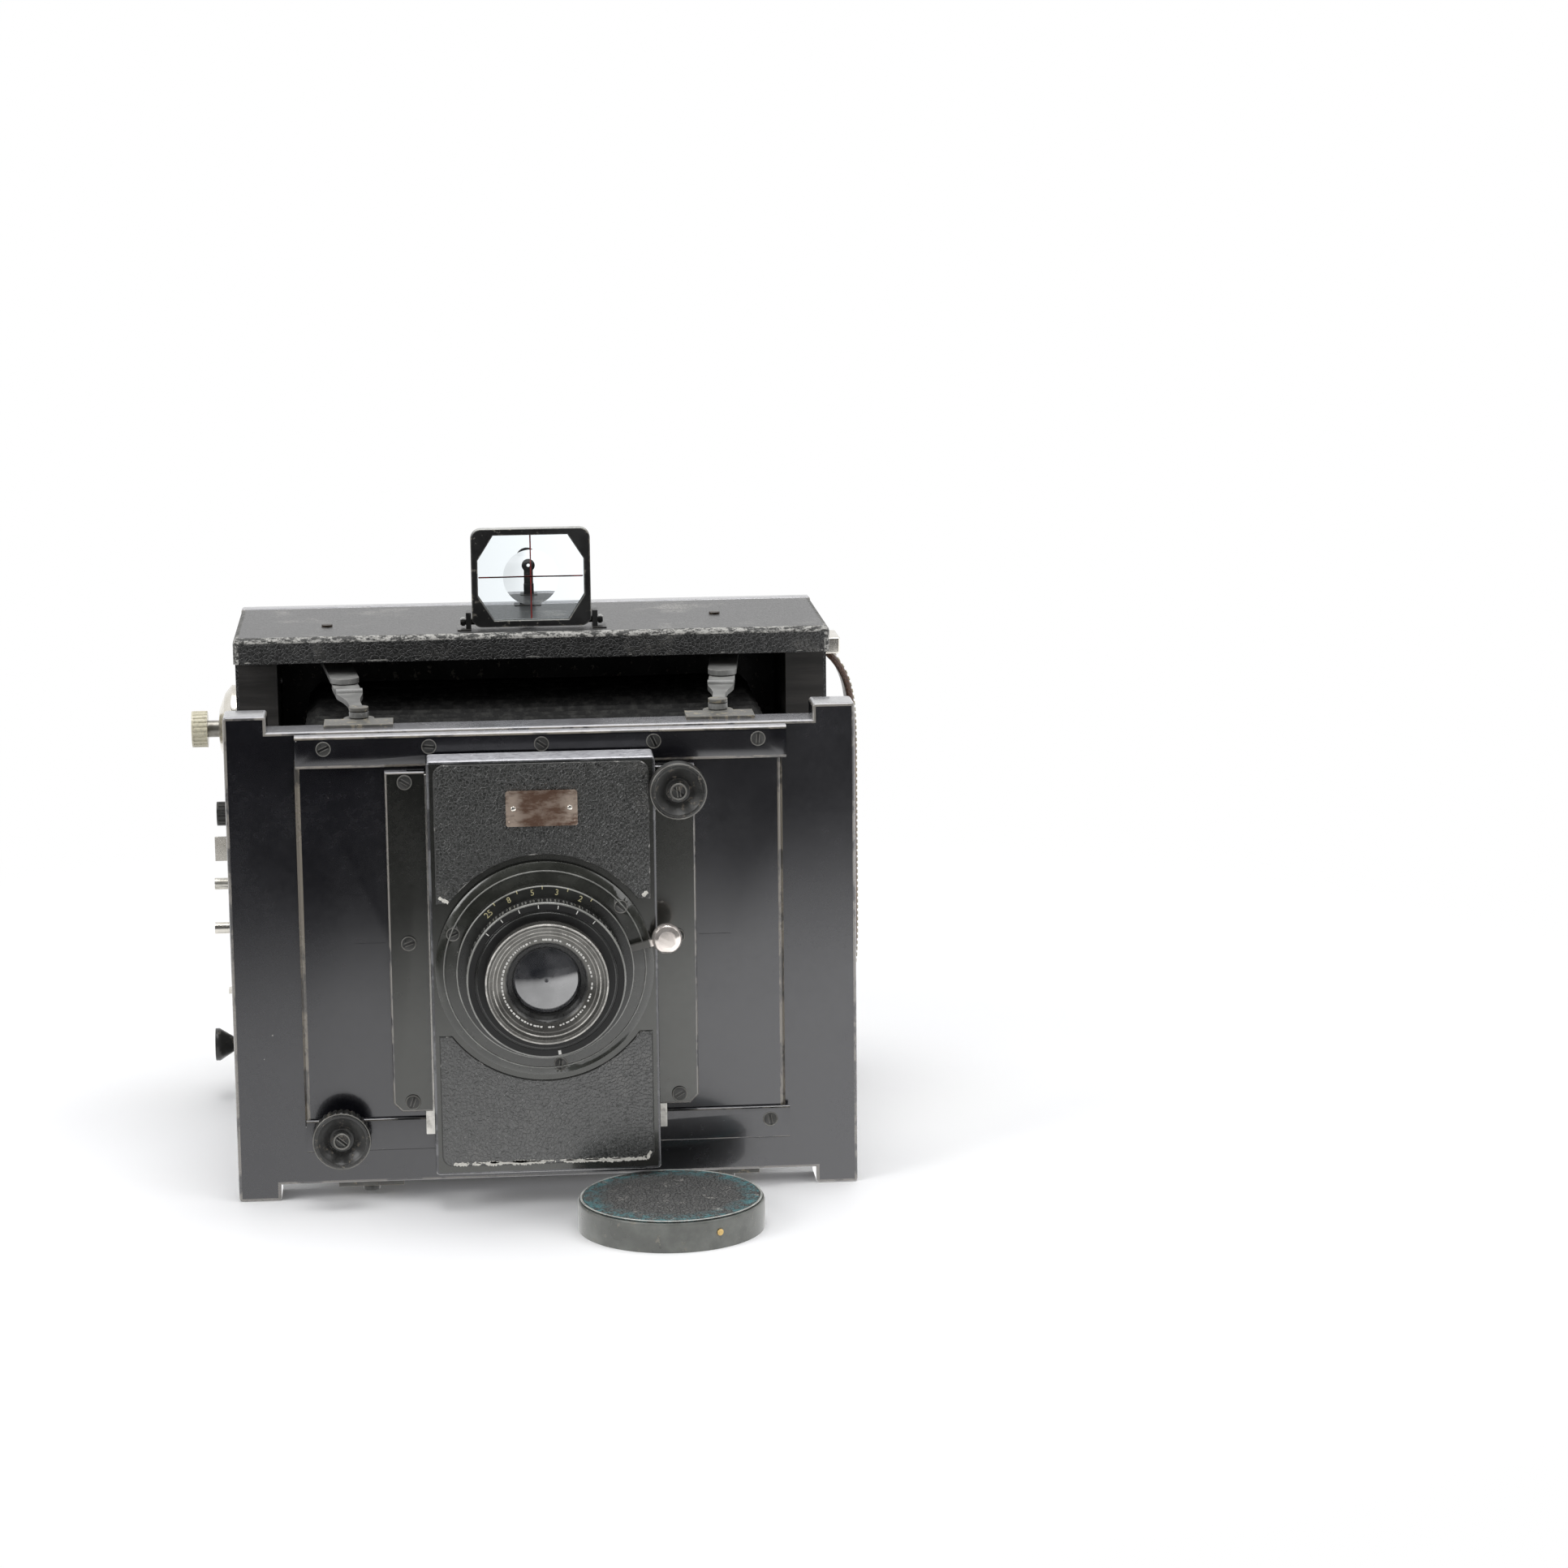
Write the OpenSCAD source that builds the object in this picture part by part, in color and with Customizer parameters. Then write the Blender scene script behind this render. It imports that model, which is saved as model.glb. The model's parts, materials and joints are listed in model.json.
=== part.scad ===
// Folding strut camera for plates of 9 x 12 cm, opened out on its struts
// The lens looks along -Y, +Z is up, and the base plate and the feet stand on z = 0

/* [Body] */
// Width of the body and of the front standard
body_w = 172; // [166:1:184]
// Height of the body
body_h = 147; // [144:0.5:156]
// Depth of the base, from the side pillars to the back
base_d = 53; // [52:0.5:58]
// Distance that the top board stands ahead of the pillars
overhang = 12; // [10:0.5:15]
// Thickness of the top board with its leather
top_t = 7.5; // [6.5:0.1:8]
// Thickness of the side walls with their leather
side_t = 12; // [11.5:0.1:13]
// Thickness of the leather covering
skin_t = 0.8; // [0.5:0.1:1.1]
// Thickness of the floor board
floor_t = 3.8; // [3:0.1:4]
// Thickness of the metal base plate
base_plate_t = 1.2; // [0.8:0.1:1.4]
// Thickness of the removable back
back_t = 5; // [4.6:0.1:6]
// Thickness of the bulkhead that holds the rear of the bellows
bulkhead_t = 1.5; // [1:0.1:2]
// Width of the picture gate
gate_w = 118; // [110:1:120]
// Height of the picture gate
gate_h = 86; // [80:1:88]
// Wall radius of the tripod thread
tripod_r = 4.76; // [3.1:0.01:4.9]
// Distance of the tripod thread ahead of the middle of the base
tripod_y = 14; // [12:0.5:17]

/* [Front standard] */
// Height of the front standard
std_h = 136; // [134:0.5:137]
// Thickness of the front standard
std_t = 12; // [9:0.5:13]
// Gap between the standard and the front edge of the top board
bellows_gap = 57; // [50:1:62]
// Width of each ear and foot at the corners of the standard
ear_w = 11.7; // [9:0.1:14]
// Height of each ear and foot
ear_step = 4.5; // [3:0.1:5]
// Width of the light opening in the standard
std_open_w = 88; // [80:1:92]
// Height of the light opening in the standard
std_open_h = 90; // [80:1:92]
// Length of the two rails
rail_len = 133.5; // [126:0.5:138]
// Height of each rail
rail_h = 9; // [8:0.1:10]
// Thickness of each rail
rail_t = 3.5; // [3.2:0.1:4]
// Thickness of the lip that holds the cross plate
rail_lip_t = 1.1; // [0.8:0.1:1.3]
// Height of the bottom rail above the table
bottom_rail_z = 14.5; // [13:0.5:15]

/* [Lens board] */
// Width of the lens board
board_w = 61.6; // [58:0.2:62]
// Height of the lens board
board_h = 115; // [110:0.5:116]
// Distance from the tongue plate to the face of the lens board
board_t = 11.2; // [9:0.2:13]
// Thickness of the leather inlays on the lens board
inlay_t = 0.5; // [0.3:0.1:0.8]
// Width of the tongue plate behind the lens board
tongue_w = 71.2; // [70:0.2:73]
// Thickness of the tongue plate
tongue_t = 1.5; // [1.2:0.1:1.8]
// Sideways position of the cross slide with its lens board
slide_x = -0.7; // [-6:0.1:6]
// Width of each guide strip
guide_w = 10.7; // [9.5:0.1:11.5]
// Gap between the guide strips and the bottom rail
guide_gap = 2.5; // [1.5:0.1:6]
// Thickness of the lip of a guide strip
guide_lip_t = 0.9; // [0.7:0.1:1.2]

/* [Lens] */
// Radius of the flange on the lens board
flange_r = 29.6; // [28.6:0.1:30]
// Thickness of the flange
flange_t = 2.5; // [2:0.1:3]
// Radius of the focusing ring
focus_r = 24; // [22.5:0.1:24]
// Radius of the sliding barrel
barrel_r = 19.2; // [18:0.1:19.6]
// Radius of the aperture ring
aperture_r = 21.4; // [20.8:0.1:22]
// Radius of the front rim
rim_r = 16.5; // [16:0.1:17]
// Radius of the front glass
glass_r = 9.2; // [8:0.1:10]
// Length of the lens ahead of the flange
lens_len = 17.5; // [16:0.5:19]
// Distance of the focus knob from the lens axis
lever_r = 34; // [33:0.1:36]

/* [Struts] */
// Distance of the rear strut pivots from the inside of the side walls
pivot_inset = 15; // [14:0.5:17]
// Distance of the rear strut pivots behind the middle of the base
rear_pivot_y = 6; // [4:0.5:6]
// Distance that the front strut pivots stand further in than the rear ones
strut_splay = 9.5; // [7:0.5:11]
// Distance of the front strut pivots behind the standard
front_pivot_d = 4.4; // [4.2:0.1:6]
// Width of the rear arms
arm_w = 8.2; // [8:0.1:10]
// Thickness of the strut strips
strut_t = 1.5; // [1.2:0.1:1.5]
// Radius of the strut pins
pin_r = 1.5; // [1.2:0.05:1.7]

/* [Finder and fittings] */
// Width of the finder frame
finder_w = 34.5; // [30:0.5:38]
// Height of the finder frame
finder_h = 28.6; // [24:0.5:30]
// Radius of the upper clamp knob
rise_knob_r = 7.7; // [6.5:0.1:8]
// Radius of the lower clamp knob
cross_knob_r = 8; // [6.5:0.1:8.4]
// Radius of the winding knob
wind_knob_r = 5.4; // [4.5:0.1:6]
// Radius of the lens cap
cap_r = 25.3; // [25:0.1:28]
// Height of the lens cap
cap_h = 8.6; // [8:0.1:9.2]
// Radius of the bore of the felt lining in the cap
cap_bore_r = 21.6; // [21.5:0.05:22.2]
// Distance of the cap to the right of the lens axis, on the table
cap_x = 31.6; // [0:1:60]
// Gap between the lens board and the cap, on the table
cap_gap = -6; // [-7:0.5:30]

/* [Hidden] */
$fn = 64;
clr = 0.3;
fit = 0.05;
seam = 0.02;
y_back = base_d / 2;
y_case = y_back - back_t;
y_pillar = -base_d / 2;
y_lid = y_pillar - overhang;
y_std_back = y_lid - bellows_gap;
y_std = y_std_back - std_t;
axis_z = std_h / 2;
body_x = body_w / 2;
wall_x = body_x - side_t;
lid_z = body_h - top_t;
floor_z = base_plate_t + floor_t;
std_top = std_h - ear_step;
bush_r = tripod_r + 2.2;

// Layers on the face of the standard, from the back to the front
y_rail = y_std - rail_t;
y_lip = y_rail + rail_lip_t;
y_plate_back = y_std - clr;
y_plate = y_lip + clr;
y_tongue_back = y_rail - clr;
y_tongue = y_tongue_back - tongue_t;
y_guide = y_tongue - clr - guide_lip_t;
y_board = y_tongue - board_t;
y_inlay = y_board - inlay_t;
y_flange = y_board - flange_t;
y_rim = y_flange - lens_len;

rail_drop = 0.7;
rail_hook = 2.5;
top_rail_z = std_top - rail_drop - rail_h;
plate_z0 = bottom_rail_z + rail_h - rail_hook + clr;
plate_z1 = top_rail_z + rail_hook - clr;
guide_x = board_w / 2 + 0.5;
guide_z0 = bottom_rail_z + rail_h + guide_gap;
guide_h = top_rail_z - 0.8 - guide_z0;
guide_mid = guide_z0 + guide_h / 2;
guide_screw_step = guide_h / 2 - 2.8;
guide_screw_x = guide_x + guide_w / 2;
rise_knob_z = guide_mid + guide_screw_step - 1.4;
board_z0 = axis_z - board_h / 2;
tongue_z0 = board_z0 + 6.5;
tongue_z1 = top_rail_z - 1.8;
inlay_w = board_w - 3.6;
inlay_h = board_h - 3.5;
inlay_up = 0.75;
inlay_arc_r = flange_r + 1.8;
inlay_split = 36.8;
cross_knob_x = -57;
cross_knob_z = bottom_rail_z + 5.3;
rail_screw_xs = [-59, -30.5, 0, 30.5, 59];

// Lens, measured from the flange
focus_ring_y = [y_flange - clr - 3.2, y_flange - clr];
barrel_front = y_flange - 12.6;
collar_r = barrel_r + 2.7;
barrel_bore_r = barrel_r - 4.2;
barrel_back = y_tongue_back + 0.3;
shoulder_r = barrel_r + 1.6;
shoulder_y = y_flange - clr - 3.2 - clr;
aperture_y = [barrel_front, y_flange - 7.6];
rear_glass_r = barrel_bore_r - 3;
lever_angle = 14;

// Struts, seen from above
rear_pivot_x = wall_x - pivot_inset;
front_pivot_x = rear_pivot_x - strut_splay;
front_pivot_y = y_std_back + front_pivot_d;
strut_dx = rear_pivot_x - front_pivot_x;
strut_dy = rear_pivot_y - front_pivot_y;
strut_len = norm([strut_dx, strut_dy]) / 2;
strut_lean = atan2(strut_dx, strut_dy);
top_link_z = std_top;
bottom_link_z = 12.4;
link_step = strut_t + clr;
link_foot_r = pin_r + 1.2;
bracket_t = 0.8;

// Shutter, behind the bulkhead
bulkhead_y = rear_pivot_y + arm_w / 2 + 1.6;
roller_r = 3.3;
roller_y = y_case - 4.3;
roller_pin_r = 1.5;
wind_y = 4;
wind_z = 113.8;
tooth_m = 0.7;
pinion_teeth = 10;
gear_teeth = 42;
gear_dist = tooth_m * (pinion_teeth + gear_teeth) / 2 + 0.1;
roller_z = wind_z + sqrt(gear_dist * gear_dist - (roller_y - wind_y) * (roller_y - wind_y));
low_roller_z = 2 * axis_z - roller_z;
gear_x = [-body_x + side_t - 5, -body_x + side_t - 2];
gear_tip_r = tooth_m * (gear_teeth / 2 + 0.75);
pinion_tip_r = tooth_m * (pinion_teeth / 2 + 0.75);
gear_turn = atan2(roller_z - wind_z, roller_y - wind_y);
wind_shaft_r = 2.5;
side_plate_t = 0.8;
side_x = -body_x - side_plate_t;
gate_rim = 4;
bellows_x = wall_x - 8;
bellows_z0 = 13.2;
bellows_z1 = 126;
pleats = 14;
pleat_deep = 5.5;
bellows_wall = 0.8;

// Finder and sight on the top board
finder_y = -31;
finder_t = 4;
finder_axis_z = body_h + 2.1;
finder_edge = 1.9;
finder_corner = [4.6, 7.2];
sight_y = 19.5;
strap_z = [24, 134];
strap_w = 14;
strap_t = 2.2;
strap_rise = 7.5;
cap_y = y_board - cap_gap - cap_r;
cap_wall = 1;
door_t = 3;

// Building blocks
module slab(x, y, z) {
    translate([x[0], y[0], z[0]]) cube([x[1] - x[0], y[1] - y[0], z[1] - z[0]]);
}

module rod_y(r, y, x = 0, z = axis_z) {
    translate([x, y[0], z]) rotate([-90, 0, 0]) cylinder(r = r, h = y[1] - y[0]);
}

module rod_x(r, x, y, z) {
    translate([x[0], y, z]) rotate([0, 90, 0]) cylinder(r = r, h = x[1] - x[0]);
}

module rod_z(r, z, x, y) {
    translate([x, y, z[0]]) cylinder(r = r, h = z[1] - z[0]);
}

// A flat shape drawn in x and z, as thick as the range y
module sheet_y(y, x = 0, z = 0) {
    translate([x, y[1], z]) rotate([90, 0, 0]) linear_extrude(y[1] - y[0]) children();
}

// A flat shape drawn in y and z, as thick as the range x
module sheet_x(x, y = 0, z = 0) {
    translate([x[0], y, z]) rotate([90, 0, 90]) linear_extrude(x[1] - x[0]) children();
}

module round_rect(w, h, r) {
    square([w - 2 * r, h], center = true);
    square([w, h - 2 * r], center = true);
    for (sx = [-1, 1], sy = [-1, 1]) translate([sx * (w / 2 - r), sy * (h / 2 - r)]) circle(r);
}

// A turned piece on an axis along y, from [radius, y] points
module turned_y(points, x = 0, z = axis_z) {
    translate([x, 0, z]) rotate([-90, 0, 0]) rotate_extrude() polygon(points);
}

// Pieces that the cross slide carries
module on_slide() {
    translate([slide_x, 0, 0]) children();
}

// A slotted screw head whose face looks along -y
module screw_y(x, z, y, r = 2.1, h = 0.9, slot = 40) {
    difference() {
        rod_y(r, [y - h, y], x, z);
        translate([x, y - h, z]) rotate([0, slot, 0]) cube([2 * r + 1, h, 0.5], center = true);
    }
}

// A knurled edge: small flutes around an axis along y
module flutes_y(r, y, x, z, count, deep) {
    for (i = [0 : count - 1]) {
        a = 360 * i / count;
        rod_y(deep, [y[0] - 1, y[1] + 1], x + r * cos(a), z + r * sin(a), $fn = 16);
    }
}

// Body: four boards that meet at close joints
module casing() color([0.12, 0.09, 0.07]) {
    slab([-body_x + skin_t, body_x - skin_t], [y_lid + skin_t, y_case], [lid_z, body_h - skin_t]);
    difference() {
        slab([-wall_x, wall_x], [y_pillar, y_case], [base_plate_t, floor_z]);
        rod_z(bush_r, [0, floor_z + 1], 0, -tripod_y);
    }
    difference() {
        slab([wall_x + seam, body_x - skin_t], [y_pillar, y_case], [base_plate_t, lid_z - seam]);
        for (z = [roller_z, low_roller_z]) rod_x(roller_pin_r + fit, [wall_x - 1, wall_x + 4], roller_y, z);
    }
    difference() {
        slab([-body_x + skin_t, -wall_x - seam], [y_pillar, y_case], [base_plate_t, lid_z - seam]);
        for (z = [roller_z, low_roller_z]) rod_x(roller_pin_r + fit, [-wall_x - 9, -wall_x + 1], roller_y, z);
        rod_x(wind_shaft_r + fit, [-body_x - 1, -wall_x + 1], wind_y, wind_z);
        rod_x(gear_tip_r + 0.9, [gear_x[0] - 0.5, -wall_x + 1], wind_y, wind_z);
        rod_x(pinion_tip_r + 0.6, [gear_x[0] - 0.5, -wall_x + 1], roller_y, roller_z);
        for (hole = side_bores) rod_x(hole[2] + fit, [-body_x - 1, -body_x + hole[3]], hole[0], hole[1]);
    }
}

module leather_covering() color([0.1, 0.1, 0.1]) {
    difference() {
        union() {
            slab([-body_x, body_x], [y_lid, y_case], [body_h - skin_t, body_h]);
            slab([-body_x, body_x], [y_lid, y_lid + skin_t], [lid_z, body_h]);
            for (x = [-body_x, body_x - skin_t]) {
                slab([x, x + skin_t], [y_pillar, y_case], [base_plate_t, body_h]);
                slab([x, x + skin_t], [y_lid, y_pillar], [lid_z, body_h]);
            }
        }
        rod_x(wind_shaft_r + fit, [-body_x - 1, -wall_x + 1], wind_y, wind_z);
        for (hole = side_bores) rod_x(hole[2] + fit, [-body_x - 1, -body_x + hole[3]], hole[0], hole[1]);
    }
}

module base_plate() color([0.13, 0.13, 0.14]) difference() {
    slab([-body_x, body_x], [y_pillar, y_case], [0, base_plate_t]);
    rod_z(bush_r, [-1, base_plate_t + 1], 0, -tripod_y);
}

module tripod_bush() color([0.55, 0.45, 0.25]) difference() {
    rod_z(bush_r, [0, floor_z], 0, -tripod_y);
    rod_z(tripod_r, [-1, floor_z + 1], 0, -tripod_y);
}

module bulkhead() color([0.1, 0.1, 0.11]) difference() {
    slab([-wall_x, wall_x], [bulkhead_y, bulkhead_y + bulkhead_t], [floor_z, lid_z]);
    slab([-gate_w / 2, gate_w / 2], [bulkhead_y - 1, bulkhead_y + bulkhead_t + 1],
         [axis_z - gate_h / 2, axis_z + gate_h / 2]);
}

// Bellows: a pleated sleeve from the front frame to the bulkhead
bellows_y = [y_std_back + 1.5 + seam, bulkhead_y];
bellows_rings = 2 * pleats + 1;
bellows_mid = (bellows_z0 + bellows_z1) / 2;
bellows_half = (bellows_z1 - bellows_z0) / 2;

function bellows_inset(i) = (i % 2 == 1) ? pleat_deep : 0;

function ring_points(y, hx, hz, cut) = [
    [hx - cut, y, bellows_mid - hz], [hx, y, bellows_mid - hz + cut],
    [hx, y, bellows_mid + hz - cut], [hx - cut, y, bellows_mid + hz],
    [-hx + cut, y, bellows_mid + hz], [-hx, y, bellows_mid + hz - cut],
    [-hx, y, bellows_mid - hz + cut], [-hx + cut, y, bellows_mid - hz]
];

function bellows_ring(i, inner) =
    let (y = bellows_y[0] + (bellows_y[1] - bellows_y[0]) * i / (bellows_rings - 1),
         d = bellows_inset(i) + inner)
    ring_points(y, bellows_x - d, bellows_half - d, 3 + bellows_inset(i));

module bellows() {
    outer = [for (i = [0 : bellows_rings - 1]) each bellows_ring(i, 0)];
    inner = [for (i = [0 : bellows_rings - 1]) each bellows_ring(i, bellows_wall)];
    n = len(outer);
    last = 8 * (bellows_rings - 1);
    walls = [for (i = [0 : bellows_rings - 2], k = [0 : 7])
        let (a = 8 * i + k, b = 8 * i + (k + 1) % 8)
        each [[a, b, a + 8], [b, b + 8, a + 8], [n + b, n + a, n + a + 8], [n + b, n + a + 8, n + b + 8]]];
    ends = [for (k = [0 : 7])
        let (m = (k + 1) % 8)
        each [[m, k, n + k], [m, n + k, n + m],
              [last + k, last + m, n + last + k], [last + m, n + last + m, n + last + k]]];
    color([0.14, 0.13, 0.12]) polyhedron(concat(outer, inner), concat(walls, ends), convexity = 10);
}

// Gear outline: teeth are narrower than their gaps, so that they run free
module gear_shape(teeth) {
    root = tooth_m * (teeth / 2 - 1.2);
    tip = tooth_m * (teeth / 2 + 0.75);
    pitch = tooth_m * teeth / 2;
    half = tooth_m * 0.62;
    circle(root);
    for (i = [0 : teeth - 1]) rotate(360 * i / teeth) {
        polygon([[root - 0.3, -half * 1.2], [pitch, -half], [tip, -half * 0.45],
                 [tip, half * 0.45], [pitch, half], [root - 0.3, half * 1.2]]);
    }
}

module upper_roller() color([0.5, 0.4, 0.25]) {
    rod_x(roller_r, [-wall_x + 1, wall_x - 1], roller_y, roller_z);
    rod_x(roller_pin_r, [-wall_x - 8, wall_x + 3], roller_y, roller_z);
    sheet_x(gear_x, roller_y, roller_z) rotate(gear_turn + 180 + 180 / pinion_teeth) gear_shape(pinion_teeth);
}

module lower_roller() color([0.5, 0.4, 0.25]) {
    rod_x(roller_r, [-wall_x + 1, wall_x - 1], roller_y, low_roller_z);
    rod_x(roller_pin_r, [-wall_x - 3, wall_x + 3], roller_y, low_roller_z);
}

curtain_y = [roller_y + roller_r + 0.35, roller_y + roller_r + 0.65];
slit_z = 60;
slit_h = 8;

module shutter_curtain() color([0.08, 0.08, 0.08]) difference() {
    slab([-gate_w / 2 - gate_rim, gate_w / 2 + gate_rim], curtain_y, [low_roller_z, roller_z]);
    slab([-gate_w / 2, gate_w / 2], [curtain_y[0] - 1, curtain_y[1] + 1], [slit_z, slit_z + slit_h]);
}

// Controls on the left side: y, z, shaft radius and depth of each bore
tension_at = [4, 88];
pawl_at = [2, 79];
release_at = [4, 53];
time_at = [4, 41];
cone_at = [4, 17];
side_bores = [
    [tension_at[0], tension_at[1], 2, 5],
    [pawl_at[0] + 6, pawl_at[1], 1.2, 4],
    [release_at[0], release_at[1], 1.75, 6],
    [time_at[0], time_at[1], 1.2, 4],
    [cone_at[0], cone_at[1], 2, 8]
];
side_screw_spots = [[-9, 46], [12, 26], [-9, 92], [12, 92]];
stud_at = [4, 66.6];
stud_len = 9;
top_screw_spots = [[-59.4, -17.8], [54.5, -9.2]];
knob_x = -body_x - 10.2;

module winding_gear() color([0.62, 0.52, 0.3]) {
    rod_x(wind_shaft_r, [knob_x - 1, -wall_x - 1.2], wind_y, wind_z);
    sheet_x(gear_x, wind_y, wind_z) rotate(gear_turn) gear_shape(gear_teeth);
}

side_plate_size = [30, 87];
side_plate_mid = [wind_y - 2.5, 54.5];

module side_plate() color([0.12, 0.12, 0.13]) difference() {
    sheet_x([side_x, -body_x], side_plate_mid[0], side_plate_mid[1]) {
        round_rect(side_plate_size[0], side_plate_size[1], 4);
    }
    for (hole = side_bores) rod_x(hole[2] + fit, [side_x - 1, -body_x + 1], hole[0], hole[1]);
}

module winding_knob() color([0.86, 0.83, 0.7]) difference() {
    rod_x(wind_knob_r, [knob_x - 4.6, knob_x], wind_y, wind_z);
    rod_x(wind_shaft_r + seam, [knob_x - 1 - seam, knob_x + 1], wind_y, wind_z);
    for (i = [0 : 23]) {
        a = 15 * i;
        rod_x(0.35, [knob_x - 4, knob_x + 1], wind_y + (wind_knob_r + 0.1) * cos(a),
              wind_z + (wind_knob_r + 0.1) * sin(a), $fn = 13);
    }
}

dial_r = 13;
dial_bore_r = wind_shaft_r + seam;
dial_hub_r = wind_shaft_r + 3.5;

module winding_dial() color([0.6, 0.6, 0.58]) {
    translate([-body_x - clr, wind_y, wind_z]) rotate([0, -90, 0]) rotate_extrude() {
        polygon([
            [dial_bore_r, 0], [dial_r, 0], [dial_r, 2.4], [dial_r - 2.4, 4.4],
            [dial_hub_r, 6.2], [dial_bore_r, 6.6]
        ]);
    }
}

module tension_knob() color([0.1, 0.1, 0.1]) {
    rod_x(2, [-body_x + 0.5, -body_x + 5], tension_at[0], tension_at[1]);
    rod_x(2, [side_x - 2, -body_x + 1], tension_at[0], tension_at[1]);
    difference() {
        rod_x(3.6, [side_x - 7.6, side_x - clr], tension_at[0], tension_at[1]);
        for (i = [0 : 15]) {
            a = 22.5 * i;
            rod_x(0.35, [side_x - 7, side_x], tension_at[0] + 3.7 * cos(a), tension_at[1] + 3.7 * sin(a),
                  $fn = 13);
        }
    }
}

module pawl_lever() color([0.8, 0.78, 0.7]) {
    rod_x(1.2, [side_x - clr - 2, -body_x + 3.8], pawl_at[0] + 6, pawl_at[1]);
    rod_x(3, [side_x - clr - 1.2, side_x - clr], pawl_at[0] + 6, pawl_at[1]);
    slab([side_x - clr - 1.2, side_x - clr], [pawl_at[0] - 6, pawl_at[0] + 6],
         [pawl_at[1] - 1.6, pawl_at[1] + 1.6]);
    slab([side_x - clr - 7.8, side_x - clr], [pawl_at[0] - 7, pawl_at[0] - 5.8],
         [pawl_at[1] - 3.6, pawl_at[1] + 3.6]);
}

module side_screw(y, z, h) {
    difference() {
        rod_x(1.75, [side_x - h, side_x], y, z);
        translate([side_x - h, y, z]) cube([0.7, 4, 0.5], center = true);
    }
}

module body_screws() color([0.8, 0.78, 0.7]) {
    for (spot = side_screw_spots) side_screw(spot[0], spot[1], 0.8);
    side_screw(stud_at[0], stud_at[1], stud_len);
    for (spot = top_screw_spots) difference() {
        rod_z(1.6, [body_h, body_h + 0.6], spot[0], spot[1]);
        translate([spot[0], spot[1], body_h + 0.6]) cube([4, 0.5, 0.6], center = true);
    }
}

module release_button() color([0.8, 0.78, 0.7]) {
    rod_x(1.75, [side_x - 9.4, -body_x + 3], release_at[0], release_at[1]);
}

module time_lever() color([0.8, 0.78, 0.7]) {
    rod_x(1.2, [side_x - clr - 1.4, -body_x + 3.8], time_at[0], time_at[1]);
    rod_x(3, [side_x - clr - 1.2, side_x - clr], time_at[0], time_at[1]);
    slab([side_x - clr - 1.2, side_x - clr], [time_at[0] - 1.6, time_at[0] + 1.6],
         [time_at[1] - 7, time_at[1]]);
    slab([side_x - clr - 5.6, side_x - clr], [time_at[0] - 1.6, time_at[0] + 1.6],
         [time_at[1] - 8, time_at[1] - 6.6]);
}

module release_cone() color([0.06, 0.06, 0.06]) {
    rod_x(2, [side_x - 5, -body_x + 4.5], cone_at[0], cone_at[1]);
    translate([side_x - 4.6, cone_at[0], cone_at[1]]) rotate([0, -90, 0]) {
        cylinder(r1 = 2, r2 = 4.9, h = 4.6);
        translate([0, 0, 4.6]) cylinder(r = 4.9, h = 1.2);
    }
}

// Finder and sight
finder_pivot = [0, finder_y + finder_t - 0.9, finder_axis_z];
finder_z0 = finder_axis_z - 1.5;
finder_mid = finder_z0 + finder_h / 2;
ear_x = finder_w / 2 + clr;

module finder_base() color([0.1, 0.1, 0.1]) {
    for (side = [-1, 1]) difference() {
        x0 = side > 0 ? ear_x : -ear_x - 1.5;
        x1 = side > 0 ? ear_x : -ear_x - 4;
        union() {
            slab([x1, x1 + 4], [finder_y - 2, finder_y + 7], [body_h, body_h + 0.4]);
            slab([x0, x0 + 1.5], [finder_y - 0.5, finder_y + finder_t + 0.5], [body_h, finder_axis_z + 3]);
        }
        rod_x(1 + fit, [x0 - 1, x0 + 2.5], finder_pivot[1], finder_axis_z);
    }
    slab([-4, 4], [sight_y - 3, sight_y + 2.5], [body_h, body_h + 0.3]);
    slab([-2.4, 2.4], [sight_y - 1.5, sight_y - clr], [body_h, sight_hinge_z + 1.6]);
    rod_y(0.6, [sight_y - 1, sight_y + 1 + clr], 0, sight_hinge_z);
    rod_y(1.2, [sight_y + 1 + clr, sight_y + 1.9], 0, sight_hinge_z);
}

module finder_frame() color([0.1, 0.1, 0.1]) {
    hole_x = finder_w / 2 - finder_edge;
    hole_z = finder_h / 2 - finder_edge;
    difference() {
        sheet_y([finder_y, finder_y + finder_t], 0, finder_mid) difference() {
            union() {
                round_rect(finder_w, finder_h, 3);
                translate([0, -finder_h / 4]) square([finder_w, finder_h / 2 - 2.8], center = true);
            }
            polygon(concat(
                [[hole_x - finder_corner[0], hole_z], [hole_x, hole_z - finder_corner[1]]],
                [[hole_x, finder_corner[1] - hole_z], [hole_x - finder_corner[0], -hole_z]],
                [[finder_corner[0] - hole_x, -hole_z], [-hole_x, finder_corner[1] - hole_z]],
                [[-hole_x, hole_z - finder_corner[1]], [finder_corner[0] - hole_x, hole_z]]
            ));
        }
        sheet_y([finder_y + 0.9, finder_y + finder_t - 0.9], 0, finder_mid) {
            square([finder_w - 2 * finder_edge + 1, finder_h - 2 * finder_edge + 1], center = true);
        }
        slab([-finder_w, finder_w], [finder_y - 1, finder_y + finder_t + 1], [finder_z0 - 3, finder_z0]);
    }
    for (side = [-1, 1]) {
        x0 = side > 0 ? finder_w / 2 - 0.8 : -finder_w / 2 - 3.4;
        rod_x(1, [x0, x0 + 4.2], finder_pivot[1], finder_axis_z);
        x1 = side > 0 ? ear_x + 1.8 : -ear_x - 2.8;
        rod_x(1.3, [x1, x1 + 1], finder_pivot[1], finder_axis_z);
    }
}

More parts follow.
